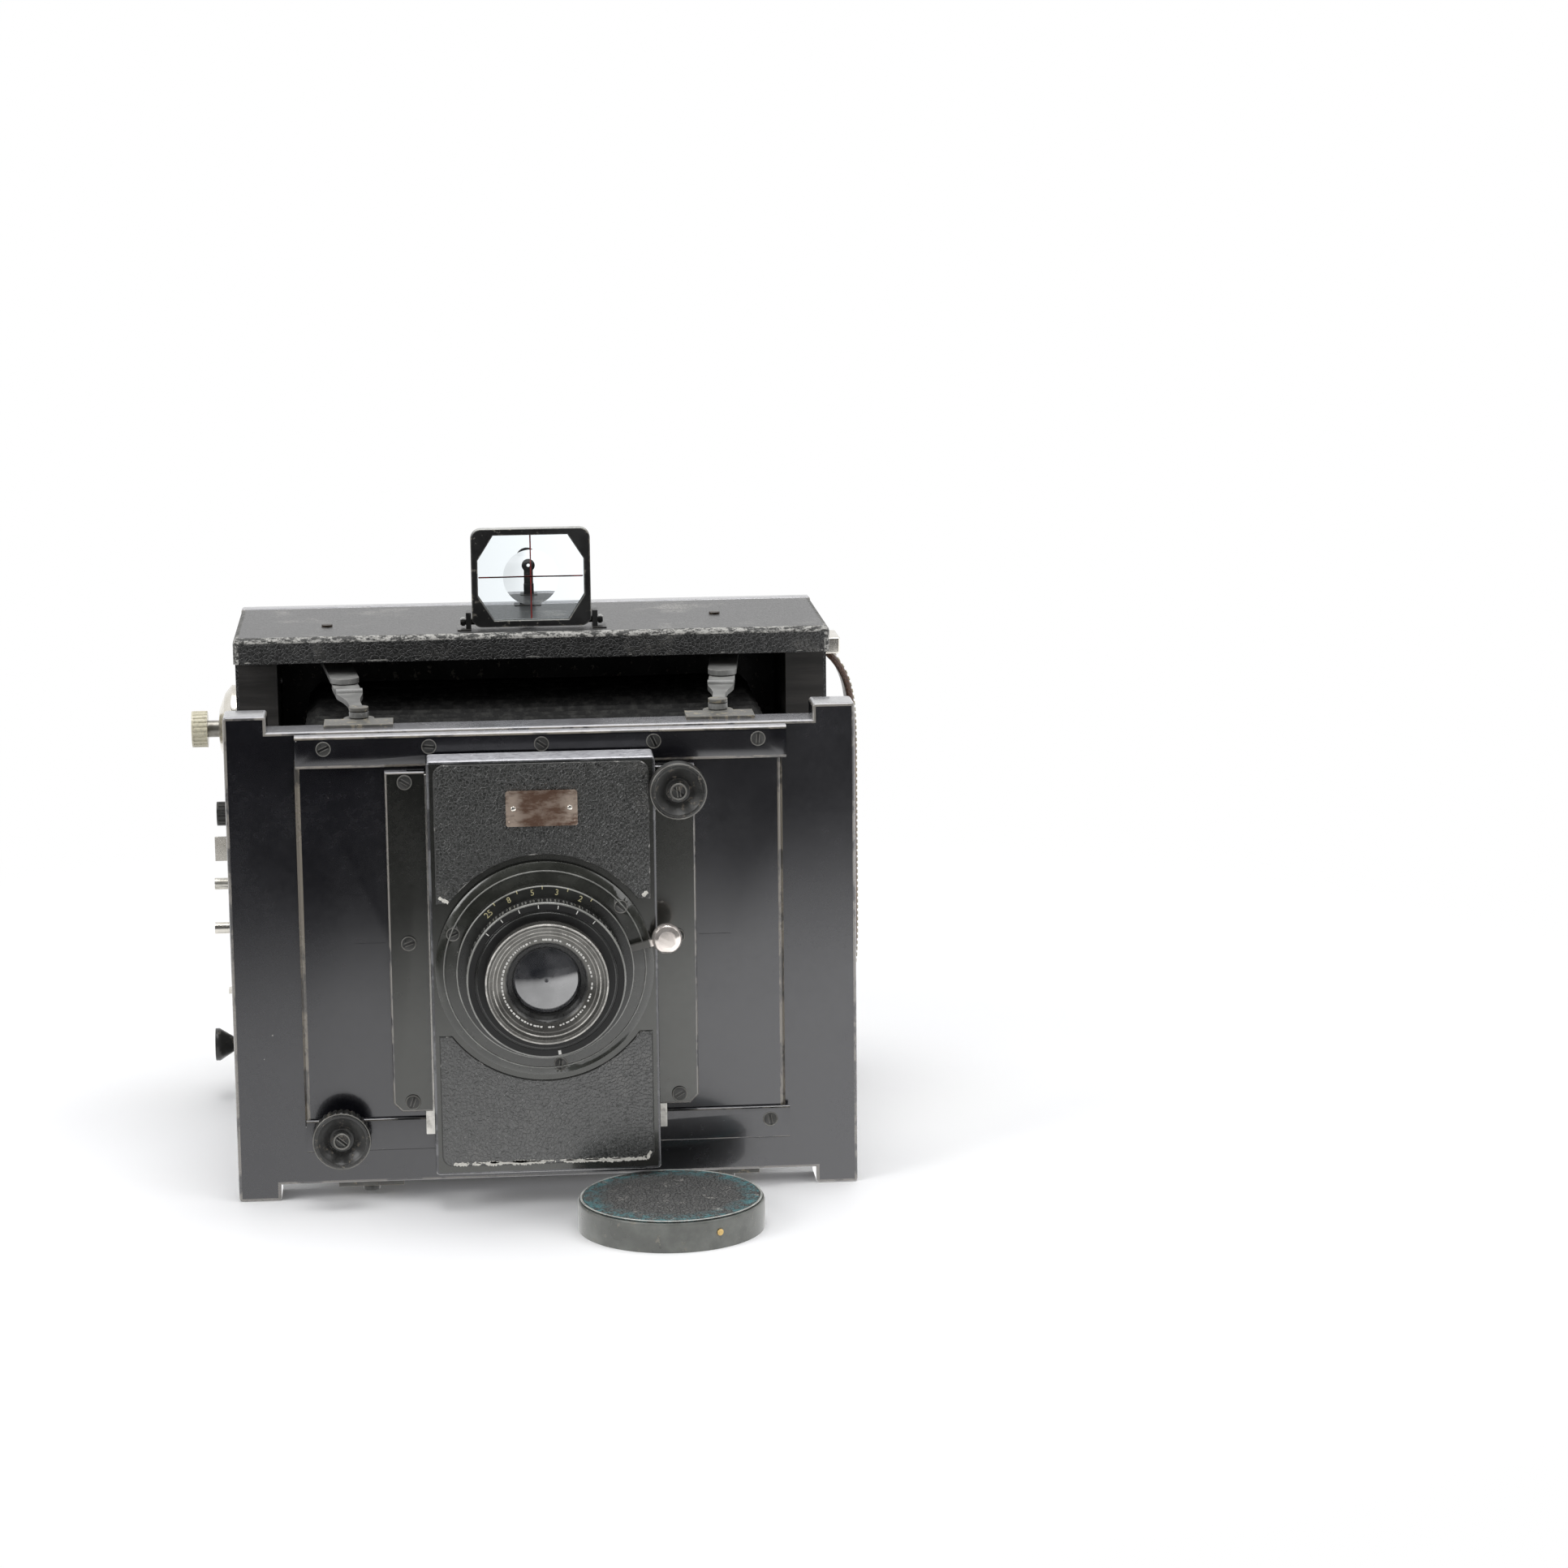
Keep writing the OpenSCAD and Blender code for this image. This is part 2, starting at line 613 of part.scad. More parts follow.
module finder_lens() color([0.8, 0.85, 0.88, 0.4]) difference() {
    gw = finder_w - 2 * finder_edge + 0.8;
    gh = finder_h - 2 * finder_edge + 0.8;
    slab([-gw / 2, gw / 2], [finder_y + 1, finder_y + finder_t - 1],
         [finder_mid - gh / 2, finder_mid + gh / 2]);
    translate([0, finder_y - 39.2, finder_mid]) sphere(r = 41, $fn = 96);
}

sight_h = 10.4;
sight_hinge_z = body_h + 3.6;

module rear_sight() color([0.1, 0.1, 0.1]) {
    difference() {
        union() {
            slab([-2.2, 2.2], [sight_y, sight_y + 1], [sight_hinge_z, sight_hinge_z + sight_h]);
            rod_y(3.2, [sight_y, sight_y + 1], 0, sight_hinge_z + sight_h);
            rod_y(1.5, [sight_y, sight_y + 1], 0, sight_hinge_z);
        }
        rod_y(0.8, [sight_y - 1, sight_y + 2], 0, sight_hinge_z + sight_h);
        rod_y(0.6 + fit, [sight_y - 1, sight_y + 2], 0, sight_hinge_z);
    }
}

// Strap handle on the right side
strap_mid = (strap_z[0] + strap_z[1]) / 2;
strap_half = (strap_z[1] - strap_z[0]) / 2;
function strap_x(z) = body_x + 1.3 + strap_rise * (1 - pow(abs(z - strap_mid) / strap_half, 8));
strap_steps = 36;

module handle_strap() color([0.25, 0.15, 0.1]) {
    zs = [for (i = [0 : strap_steps]) strap_z[0] + (strap_z[1] - strap_z[0]) * i / strap_steps];
    outline = concat([for (z = zs) [strap_x(z), z]],
                     [for (i = [strap_steps : -1 : 0]) [strap_x(zs[i]) + strap_t, zs[i]]]);
    sheet_y([-strap_w / 2, strap_w / 2]) polygon(outline);
}

module strap_lugs() color([0.8, 0.78, 0.7]) {
    for (z = strap_z) {
        end = z == strap_z[0] ? z - 4.8 : z;
        slab([body_x, body_x + 6], [-strap_w / 2 - 1, strap_w / 2 + 1], [end, end + 4.8]);
        inner = z == strap_z[0] ? z - 1 : z - 9;
        slab([body_x, body_x + 0.9], [-strap_w / 2 + 1, strap_w / 2 - 1], [inner, inner + 10]);
    }
}

// Back
glass_w = gate_w + 6;
glass_h = gate_h + 6;

module back_frame() color([0.11, 0.11, 0.11]) {
    back_panel();
    for (side = [-1, 1]) {
        x0 = side > 0 ? door_x + clr : -door_x - clr - 2;
        slab([x0, x0 + 2], [y_back - 1, door_y + door_t], [door_hinge_z - 1.5, door_hinge_z + 1.5]);
        x1 = side > 0 ? door_x - 4 : -door_x - clr - 1;
        rod_x(door_pin_r, [x1, x1 + 5 + clr], door_y + door_t / 2, door_hinge_z);
    }
}

module back_panel() difference() {
    slab([-body_x, body_x], [y_case, y_back], [0, body_h]);
    slab([-gate_w / 2, gate_w / 2], [y_case - 1, y_back + 1], [axis_z - gate_h / 2, axis_z + gate_h / 2]);
    slab([-glass_w / 2, glass_w / 2], [y_case - 1, y_case + 2.8],
         [axis_z - glass_h / 2, axis_z + glass_h / 2]);
}

module ground_glass() color([0.85, 0.9, 0.9, 0.5]) {
    slab([-glass_w / 2, glass_w / 2], [y_case + 0.8, y_case + 2.8],
         [axis_z - glass_h / 2, axis_z + glass_h / 2]);
}

door_y = y_back + clr;
door_hinge_z = axis_z - gate_h / 2 - 5;
door_x = gate_w / 2 + 3;
door_pin_r = 0.7;

module hood_door() color([0.1, 0.1, 0.1]) {
    difference() {
        union() {
            slab([-door_x, door_x], [door_y, door_y + door_t], [door_hinge_z, axis_z + gate_h / 2 + 4]);
            rod_x(door_t / 2, [-door_x, door_x], door_y + door_t / 2, door_hinge_z);
        }
        for (x0 = [-door_x - 1, door_x - 4.5]) {
            rod_x(door_pin_r + fit, [x0, x0 + 5.5], door_y + door_t / 2, door_hinge_z);
        }
    }
    slab([-7, 7], [door_y + 1, door_y + door_t + 0.8], [axis_z + gate_h / 2 + 1, axis_z + gate_h / 2 + 6]);
}

// Struts: dir is 1 for the top pair and -1 for the bottom pair
function level(dir, k) = dir > 0 ? top_link_z + bracket_t + k : bottom_link_z - bracket_t - k;
function span(dir, from, thick) = dir > 0 ? [level(dir, from), level(dir, from + thick)]
                                          : [level(dir, from + thick), level(dir, from)];

module strut_posts() color([0.5, 0.5, 0.5]) {
    for (side = [-1, 1], dir = [-1, 1]) {
        arm = span(dir, clr + link_step, strut_t);
        far = dir > 0 ? lid_z : floor_z;
        collar = dir > 0 ? [arm[1] + clr, far] : [far, arm[0] - clr];
        stem = dir > 0 ? [arm[0] - clr - 1, far] : [far, arm[1] + clr + 1];
        head = dir > 0 ? [arm[0] - clr - 1, arm[0] - clr] : [arm[1] + clr, arm[1] + clr + 1];
        rod_z(pin_r, stem, side * rear_pivot_x, rear_pivot_y);
        rod_z(pin_r + 1.6, collar, side * rear_pivot_x, rear_pivot_y);
        rod_z(pin_r + 1.2, head, side * rear_pivot_x, rear_pivot_y);
    }
}

// One rear arm, from its pivot to the knee
module rear_arm(side, dir) {
    z = span(dir, clr + link_step, strut_t);
    translate([side * rear_pivot_x, rear_pivot_y, 0]) rotate(-90 - side * strut_lean) {
        difference() {
            union() {
                rod_z(arm_w / 2, z, 0, 0);
                slab([0, strut_len], [-arm_w / 2, arm_w / 2], z);
                rod_z(arm_w / 2, z, strut_len, 0);
            }
            rod_z(pin_r + fit, [z[0] - 1, z[1] + 1], 0, 0);
        }
    }
}

// One front link, from its pivot back to the knee: a round foot, a narrow neck, then a flare
ridge_x = strut_len - 17.6;
ridge_r = 1.2;
link_half = arm_w / 2 - 0.4;
neck_half = 1.7;

module front_link(side, dir) {
    z = span(dir, clr, strut_t);
    flare = [[4.5, neck_half + 0.3], [7, neck_half], [ridge_x - 14, neck_half + 0.1],
             [ridge_x - 8, neck_half + 0.7], [ridge_x - 3.2, link_half - 0.4], [ridge_x, link_half]];
    outline = concat([[1, link_foot_r - 0.2]], flare);
    mirrored = [for (i = [len(outline) - 1 : -1 : 0]) [outline[i][0], -outline[i][1]]];
    translate([side * front_pivot_x, front_pivot_y, 0]) rotate(90 - side * strut_lean) difference() {
        union() {
            rod_z(link_foot_r, z, 0, 0);
            translate([0, 0, z[0]]) linear_extrude(z[1] - z[0]) polygon(concat(outline, mirrored));
            slab([ridge_x, strut_len], [-link_half, link_half], z);
            rod_z(link_half, z, strut_len, 0);
            translate([ridge_x + ridge_r, 0, dir > 0 ? z[1] : z[0]]) rotate([90, 0, 0])
                cylinder(r = ridge_r, h = 2 * link_half, center = true);
        }
        rod_z(pin_r + fit, [z[0] - 1, z[1] + 1], 0, 0);
    }
}

module rear_arms_left() color([0.2, 0.2, 0.21]) for (dir = [-1, 1]) rear_arm(-1, dir);
module rear_arms_right() color([0.2, 0.2, 0.21]) for (dir = [-1, 1]) rear_arm(1, dir);
module front_links_left() color([0.2, 0.2, 0.21]) for (dir = [-1, 1]) front_link(-1, dir);
module front_links_right() color([0.2, 0.2, 0.21]) for (dir = [-1, 1]) front_link(1, dir);

// Front standard
module standard_plate() color([0.09, 0.09, 0.12]) {
    sheet_y([y_std, y_std_back]) difference() {
        translate([0, axis_z]) square([body_w, std_h], center = true);
        for (z = [0, std_h]) translate([0, z]) square([body_w - 2 * ear_w, 2 * ear_step], center = true);
        translate([0, axis_z]) round_rect(std_open_w, std_open_h, 4);
    }
}

module bellows_front_frame() color([0.1, 0.1, 0.1]) difference() {
    sheet_y([y_std_back, y_std_back + 1.5], 0, bellows_mid) round_rect(2 * bellows_x, 2 * bellows_half, 3);
    sheet_y([y_std_back - 1, y_std_back + 3], 0, axis_z) round_rect(std_open_w + 4, std_open_h + 4, 3);
}

module rail(z, hook) {
    slab([-rail_len / 2, rail_len / 2], [y_rail, y_lip], [z, z + rail_h]);
    solid = hook > 0 ? [z, z + rail_h - rail_hook] : [z + rail_hook, z + rail_h];
    slab([-rail_len / 2, rail_len / 2], [y_lip, y_std], solid);
}

top_screw_z = top_rail_z + rail_h / 2 + 1;
low_screw = [61.3, bottom_rail_z + 5.4];
rail_screw_r = 2.1;

module top_rail() color([0.09, 0.09, 0.12]) difference() {
    rail(top_rail_z, -1);
    for (x = rail_screw_xs) rod_y(rail_screw_r, [y_rail - 1, y_rail + 0.9], x, top_screw_z);
}

module bottom_rail() color([0.09, 0.09, 0.12]) difference() {
    rail(bottom_rail_z, 1);
    rod_y(rail_screw_r, [y_rail - 1, y_rail + 0.9], low_screw[0], low_screw[1]);
}

module rail_screws() color([0.2, 0.2, 0.2]) {
    for (x = rail_screw_xs) screw_y(x, top_screw_z, y_rail + 0.9, slot = 35 + x);
    screw_y(low_screw[0], low_screw[1], y_rail + 0.9, slot = 80);
    for (side = [-1, 1]) {
        rod_z(2.3, [ear_step - strut_t - 1.6, ear_step - strut_t], side * front_pivot_x, y_std + 5);
    }
}

// Brackets behind the standard that carry the front strut pins
module strut_brackets() color([0.3, 0.29, 0.26]) {
    for (side = [-1, 1]) {
        x = side * front_pivot_x;
        top = [std_top, std_top + bracket_t];
        slab([x - 9.4, x + 9.4], [y_std_back - 7, y_std_back + 3.4], top);
        slab([x - 4.2, x + 4.2], [y_std_back, front_pivot_y], top);
        rod_z(4.2, top, x, front_pivot_y);
        low = [bottom_link_z - bracket_t, bottom_link_z];
        backing_t = front_pivot_d - link_foot_r - clr;
        slab([x - 3.8, x + 3.8], [y_std_back, front_pivot_y], low);
        rod_z(3.8, low, x, front_pivot_y);
        slab([x - 9, x + 9], [y_std_back, y_std_back + backing_t], [floor_z + 0.5, bottom_link_z]);
        slab([x - 9, x + 9], [y_std + 2, y_std_back], [ear_step - strut_t, ear_step]);
        for (dir = [-1, 1]) {
            link = span(dir, clr, strut_t);
            face = dir > 0 ? top[1] : low[0];
            stem = dir > 0 ? [face, link[1] + clr + 1] : [link[0] - clr - 1, face];
            head = dir > 0 ? [link[1] + clr, link[1] + clr + 1] : [link[0] - clr - 1, link[0] - clr];
            rod_z(pin_r, stem, x, front_pivot_y);
            rod_z(pin_r + 1.2, head, x, front_pivot_y);
        }
    }
}

// Cross slide
cross_open_w = 52;
cross_open_h = 70;
mark_at = [47.3, 73];
mark_len = 8.6;

module cross_plate() color([0.09, 0.09, 0.12]) on_slide() difference() {
    slab([-rail_len / 2 + 0.4, rail_len / 2 - 0.4], [y_plate, y_plate_back], [plate_z0, plate_z1]);
    sheet_y([y_plate - 1, y_plate_back + 1], 0, axis_z + 9) round_rect(cross_open_w, cross_open_h, 3);
    for (side = [-1, 1]) {
        mark_x = side * mark_at[0];
        slab([mark_x - mark_len / 2, mark_x + mark_len / 2], [y_plate - 1, y_plate + 0.2],
             [mark_at[1] - 0.2, mark_at[1] + 0.2]);
    }
}

module guide_strip(side) {
    mirror([side < 0 ? 1 : 0, 0, 0]) difference() {
        slab([guide_x, guide_x + guide_w], [y_guide, y_plate], [guide_z0, guide_z0 + guide_h]);
        slab([guide_x - 1, tongue_w / 2 + 0.4], [y_guide + guide_lip_t, y_tongue_back + clr],
             [guide_z0 - 1, guide_z0 + guide_h + 1]);
        translate([guide_x + guide_w, 0, guide_z0]) rotate([0, 45, 0])
            cube([3.4, 400, 3.4], center = true);
    }
}

module guide_strips() color([0.09, 0.09, 0.12]) on_slide() {
    guide_strip(-1);
    guide_strip(1);
}

module guide_screws() color([0.2, 0.2, 0.2]) on_slide() {
    for (side = [-1, 1], k = [-1, 0, 1]) {
        if (!(side > 0 && k == 1)) {
            screw_y(side * guide_screw_x, guide_mid + k * guide_screw_step, y_guide, h = 0.5,
                    slot = 50 * k + 20 * side);
        }
    }
}

// Clamp knobs: a fluted rim around a dished face, on a stem
module clamp_knob(r, x, z, y_face, y_foot, count) {
    turned_r = r - 0.3;
    difference() {
        translate([x, y_face, z]) rotate([-90, 0, 0]) rotate_extrude() polygon([
            [0, 1.8], [3.2, 1.8], [3.8, 2.4], [turned_r - 1.6, 0.6], [turned_r - 1, 0],
            [turned_r - 0.4, 0], [r, 0.6], [r, 4.6], [r - 1.4, 5.4], [0, 5.4]
        ]);
        if (count > 0) flutes_y(r + 0.25, [y_face, y_face + 5], x, z, count, 0.6);
    }
    rod_y(2.4, [y_face + 5, y_foot], x, z);
    screw_y(x, z, y_face + 1.8, r = 2.6, h = 1);
}

module cross_clamp() color([0.07, 0.07, 0.07]) {
    clamp_knob(cross_knob_r, cross_knob_x, cross_knob_z, y_guide - clr - 5.4, y_rail - clr, 30);
}

module rise_clamp() color([0.07, 0.07, 0.07]) on_slide() {
    clamp_knob(rise_knob_r, guide_screw_x, rise_knob_z, y_inlay - 0.6 - 5.4, y_guide - clr, 0);
}

// Lens board
module board_tongue() color([0.75, 0.73, 0.66]) on_slide() difference() {
    tab_x = board_w / 2 + 2.4;
    union() {
        slab([-tongue_w / 2, tongue_w / 2], [y_tongue, y_tongue_back], [guide_z0, tongue_z1]);
        slab([-tab_x, tab_x], [y_tongue, y_tongue_back], [tongue_z0 + 2.2, guide_z0]);
    }
    rod_y(collar_r + 0.2, [y_tongue - 1, y_tongue_back + 1]);
}

module lens_board() color([0.1, 0.1, 0.11]) on_slide() difference() {
    sheet_y([y_board, y_tongue], 0, axis_z) round_rect(board_w, board_h, 1.2);
    rod_y(collar_r + 0.1, [y_board - 1, y_tongue + 1]);
}

module board_leather() color([0.16, 0.16, 0.15]) on_slide() {
    sheet_y([y_inlay, y_board], 0, axis_z) difference() {
        translate([0, inlay_up]) round_rect(inlay_w, inlay_h, 3);
        circle(inlay_arc_r);
        square([inlay_w + 2, inlay_split], center = true);
    }
}

plate_size = [19.3, 9.8];

module name_plate() color([0.6, 0.48, 0.35]) on_slide() {
    sheet_y([y_inlay - 0.5, y_inlay], 0, axis_z + 44.2) round_rect(plate_size[0], plate_size[1], 0.8);
}

flange_screw_r = flange_r - 2.9;
flange_screw_angles = [39, 157, 278];

module lens_flange() color([0.08, 0.08, 0.08]) on_slide() difference() {
    turned_y([[0, y_flange], [flange_r - 1.6, y_flange], [flange_r, y_flange + 1.2], [flange_r, y_board],
              [collar_r, y_board], [collar_r, barrel_back], [0, barrel_back]]);
    rod_y(barrel_r + fit, [y_flange - 1, barrel_back + 1]);
    for (a = flange_screw_angles) {
        rod_y(1.9, [y_flange - 1, y_flange + 0.8], flange_screw_r * cos(a), axis_z + flange_screw_r * sin(a));
    }
}

module flange_screws() color([0.25, 0.24, 0.2]) on_slide() {
    for (a = flange_screw_angles) {
        screw_y(flange_screw_r * cos(a), axis_z + flange_screw_r * sin(a), y_flange + 0.8,
                r = 1.9, h = 0.8, slot = a);
    }
}

module focus_ring() color([0.08, 0.08, 0.08]) on_slide() difference() {
    rod_y(focus_r, focus_ring_y);
    rod_y(barrel_r + fit, [focus_ring_y[0] - 1, focus_ring_y[1] + 1]);
}

lever_y = focus_ring_y[0] + 0.4;

module focus_lever() color([0.8, 0.78, 0.72]) on_slide() {
    translate([0, lever_y, axis_z]) rotate([0, -lever_angle, 0]) {
        slab([focus_r - 0.02, lever_r], [0, 1.5], [-0.9, 0.9]);
        translate([lever_r, -1.4, 0]) rotate([-90, 0, 0]) rotate_extrude() {
            polygon([[0, 0], [2.4, 0], [3.6, 0.5], [4.1, 1.5], [4.1, 2.6], [3.4, 3.2], [0, 3.2]]);
        }
    }
}

module lens_barrel() color([0.07, 0.07, 0.07]) on_slide() difference() {
    union() {
        rod_y(barrel_r, [barrel_front, barrel_back]);
        rod_y(shoulder_r, [aperture_y[1] + clr, shoulder_y]);
        rod_y(barrel_r - 0.6, [barrel_front - 0.4, barrel_front]);
    }
    rod_y(barrel_bore_r, [barrel_front - 2, y_flange - 4]);
    rod_y(rear_glass_r, [y_flange - 5, barrel_back + 1]);
}

module aperture_ring() color([0.08, 0.08, 0.08]) on_slide() difference() {
    rod_y(aperture_r, aperture_y);
    rod_y(barrel_r + fit, [aperture_y[0] - 1, aperture_y[1] + 1]);
    flutes_y(aperture_r + 0.15, [aperture_y[1] - 2.2, aperture_y[1]], 0, axis_z, 60, 0.4);
}

rim_back = barrel_front - 0.4;

module lens_rim() color([0.3, 0.3, 0.29]) on_slide() difference() {
    union() {
        rod_y(rim_r, [y_rim, rim_back]);
        rod_y(barrel_bore_r - seam, [rim_back, rim_back + 4]);
    }
    turned_y([[0, y_rim - 1], [rim_r - 1.4, y_rim - 1], [rim_r - 1.4, y_rim], [rim_r - 3.6, y_rim + 1.2],
              [glass_r + 1.6, y_rim + 2.2], [glass_r, y_rim + 4.4], [glass_r, rim_back + 5],
              [0, rim_back + 5]]);
}

// Front and rear glass, turned to shallow curves
function bulge(r, y, rise, steps) = [
    for (i = [0 : steps]) [r * i / steps, y + rise * i * i / (steps * steps)]
];

module lens_glass() color([0.5, 0.6, 0.65, 0.5]) on_slide() {
    front_r = glass_r - seam;
    turned_y(concat(bulge(front_r, y_rim + 4.3, 1.4, 6), [[front_r, y_rim + 8], [0, y_rim + 8]]));
    rear_r = rear_glass_r - seam;
    turned_y(concat([[0, barrel_back - 6], [rear_r, barrel_back - 6]],
                    [for (i = [6 : -1 : 0]) [rear_r * i / 6, barrel_back - 0.6 - 1.6 * i * i / 36]]));
}

// Lens cap, taken off and laid on the table with its leather up
module lens_cap() color([0.2, 0.23, 0.22]) difference() {
    translate([cap_x, cap_y, 0]) rotate_extrude() {
        polygon([[cap_r - cap_wall, 0], [cap_r, 0], [cap_r, cap_h - 1.2], [cap_r - 0.4, cap_h - 0.6],
                 [cap_r - 1.4, cap_h - 0.6], [cap_r - 1.4, cap_h - 0.8], [0, cap_h - 0.8],
                 [0, cap_h - 1.8], [cap_r - cap_wall, cap_h - 1.8]]);
    }
    rivet_at(0, 2);
}

// A short pin through the wall of the cap, at the side that faces the viewer
module rivet_at(from, to) {
    translate([cap_x, cap_y, 4.6]) rotate([0, 90, -63]) translate([0, 0, cap_r - cap_wall + from])
        cylinder(r = 0.9, h = cap_wall + to - from, $fn = 32);
}

module cap_rivet() color([0.7, 0.55, 0.25]) rivet_at(0.05, 0.35);

module cap_leather() color([0.09, 0.12, 0.13]) {
    rod_z(cap_r - 1.5, [cap_h - 0.8, cap_h], cap_x, cap_y);
}

module cap_lining() color([0.25, 0.05, 0.08]) difference() {
    rod_z(cap_r - cap_wall, [0.6, cap_h - 1.8], cap_x, cap_y);
    rod_z(cap_bore_r, [0, cap_h], cap_x, cap_y);
}

casing();
leather_covering();
base_plate();
tripod_bush();
bulkhead();
bellows();
upper_roller();
lower_roller();
shutter_curtain();
winding_gear();
side_plate();
winding_knob();
winding_dial();
tension_knob();
pawl_lever();
body_screws();
release_button();
time_lever();
release_cone();
finder_base();
finder_frame();
finder_lens();
rear_sight();
handle_strap();
strap_lugs();
back_frame();
ground_glass();
hood_door();
strut_posts();
rear_arms_left();
rear_arms_right();
front_links_left();
front_links_right();
standard_plate();
bellows_front_frame();
top_rail();
bottom_rail();
rail_screws();
strut_brackets();
cross_plate();
guide_strips();
guide_screws();
cross_clamp();
rise_clamp();
board_tongue();
lens_board();
board_leather();
name_plate();
lens_flange();
flange_screws();
focus_ring();
focus_lever();
lens_barrel();
aperture_ring();
lens_rim();
lens_glass();
lens_cap();
cap_rivet();
cap_leather();
cap_lining();
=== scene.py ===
"""Looks of a folding strut camera for 9 x 12 cm plates, opened out on a pale table."""

import json
import math
import random

import bmesh
import bpy
from mathutils import Matrix, Vector, noise

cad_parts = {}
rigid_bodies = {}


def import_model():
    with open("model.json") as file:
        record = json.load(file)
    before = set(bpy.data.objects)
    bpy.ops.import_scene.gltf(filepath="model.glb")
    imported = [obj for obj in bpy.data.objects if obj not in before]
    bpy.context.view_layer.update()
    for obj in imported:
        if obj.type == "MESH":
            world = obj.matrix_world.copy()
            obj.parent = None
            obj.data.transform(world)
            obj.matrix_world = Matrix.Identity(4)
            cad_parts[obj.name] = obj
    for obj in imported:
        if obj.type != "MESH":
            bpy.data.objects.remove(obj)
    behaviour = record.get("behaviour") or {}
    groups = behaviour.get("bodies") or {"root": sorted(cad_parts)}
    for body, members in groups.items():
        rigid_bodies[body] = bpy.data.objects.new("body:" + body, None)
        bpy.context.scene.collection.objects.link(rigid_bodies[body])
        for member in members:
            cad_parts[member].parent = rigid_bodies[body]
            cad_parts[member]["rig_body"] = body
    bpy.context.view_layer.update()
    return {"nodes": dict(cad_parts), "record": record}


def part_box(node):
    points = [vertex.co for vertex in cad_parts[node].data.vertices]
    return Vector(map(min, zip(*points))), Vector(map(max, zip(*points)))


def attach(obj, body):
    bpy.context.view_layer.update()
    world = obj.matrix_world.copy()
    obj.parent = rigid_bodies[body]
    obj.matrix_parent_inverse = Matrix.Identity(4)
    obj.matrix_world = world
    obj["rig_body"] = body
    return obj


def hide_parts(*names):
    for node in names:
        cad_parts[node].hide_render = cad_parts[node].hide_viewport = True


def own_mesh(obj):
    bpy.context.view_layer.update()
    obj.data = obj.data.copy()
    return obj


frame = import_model()
nodes = frame["nodes"]
SLOTS = {row["node"]: row["material_slot"] for row in frame["record"]["subparts"]}
MM = 0.001

# Camera: the photograph's viewing angle
CAMERA_AT = (-0.0276, -1.2006, 0.3219)
CAMERA_PITCH = math.radians(10.74)
CAMERA_YAW = math.radians(4.91)
CAMERA_ROLL = math.radians(-0.57)
CAMERA_LENS = 93.41


def put(thing, **settings):
    """Sets attributes of a Blender thing and gives it back."""
    for name, value in settings.items():
        setattr(thing, name, value)
    return thing


def add_object(name, data):
    """Puts a mesh, a lamp or a camera into the scene."""
    made = bpy.data.objects.new(name, data)
    bpy.context.scene.collection.objects.link(made)
    return made


def make_camera():
    """Camera whose optical axis points down by the pitch and to the right by the yaw."""
    data = put(bpy.data.cameras.new("camera"), lens=CAMERA_LENS, sensor_width=36, clip_start=0.05)
    camera = add_object("camera", data)
    yawed = Matrix.Translation(CAMERA_AT) @ Matrix.Rotation(-CAMERA_YAW, 4, "Z")
    pitched = yawed @ Matrix.Rotation(math.pi / 2 - CAMERA_PITCH, 4, "X")
    camera.matrix_world = pitched @ Matrix.Rotation(CAMERA_ROLL, 4, "Z")
    bpy.context.scene.camera = camera


make_camera()


class Nodes:
    """The nodes of one material or world, and short ways to add to them."""

    def __init__(self, owner):
        owner.use_nodes = True
        self.tree = owner.node_tree
        self.tree.nodes.clear()

    def give(self, socket, value):
        """Links an output to a socket, or sets the socket's own value."""
        if isinstance(value, bpy.types.NodeSocket):
            self.tree.links.new(value, socket)
        elif socket.type == "RGBA" and len(value) == 3:
            socket.default_value = (*value, 1)
        else:
            socket.default_value = value

    def add(self, kind, inputs=None, **settings):
        """A new shader node, with inputs by name or by number."""
        node = put(self.tree.nodes.new("ShaderNode" + kind), **settings)
        for key, value in (inputs or {}).items():
            self.give(node.inputs[key], value)
        return node

    def ramp(self, value, low, high, dark=0.0, light=1.0):
        """Maps low..high of a value smoothly to dark..light."""
        return self.add("MapRange", {
            "Value": value, "From Min": low, "From Max": high, "To Min": dark, "To Max": light,
        }, interpolation_type="SMOOTHSTEP").outputs[0]

    def math(self, kind, a, b=0.0):
        return self.add("Math", {0: a, 1: b}, operation=kind).outputs[0]

    def plus(self, a, b):
        return self.math("ADD", a, b)

    def times(self, a, b):
        return self.math("MULTIPLY", a, b)

    def glow(self, strength, kind="Emission", color=(1, 1, 1)):
        return self.add(kind, {"Color": color, "Strength": strength}).outputs[0]

    def choose(self, share, a, b):
        """Shader a where share is 0 and shader b where it is 1."""
        return self.add("MixShader", {0: share, 1: a, 2: b}).outputs[0]


look = {}


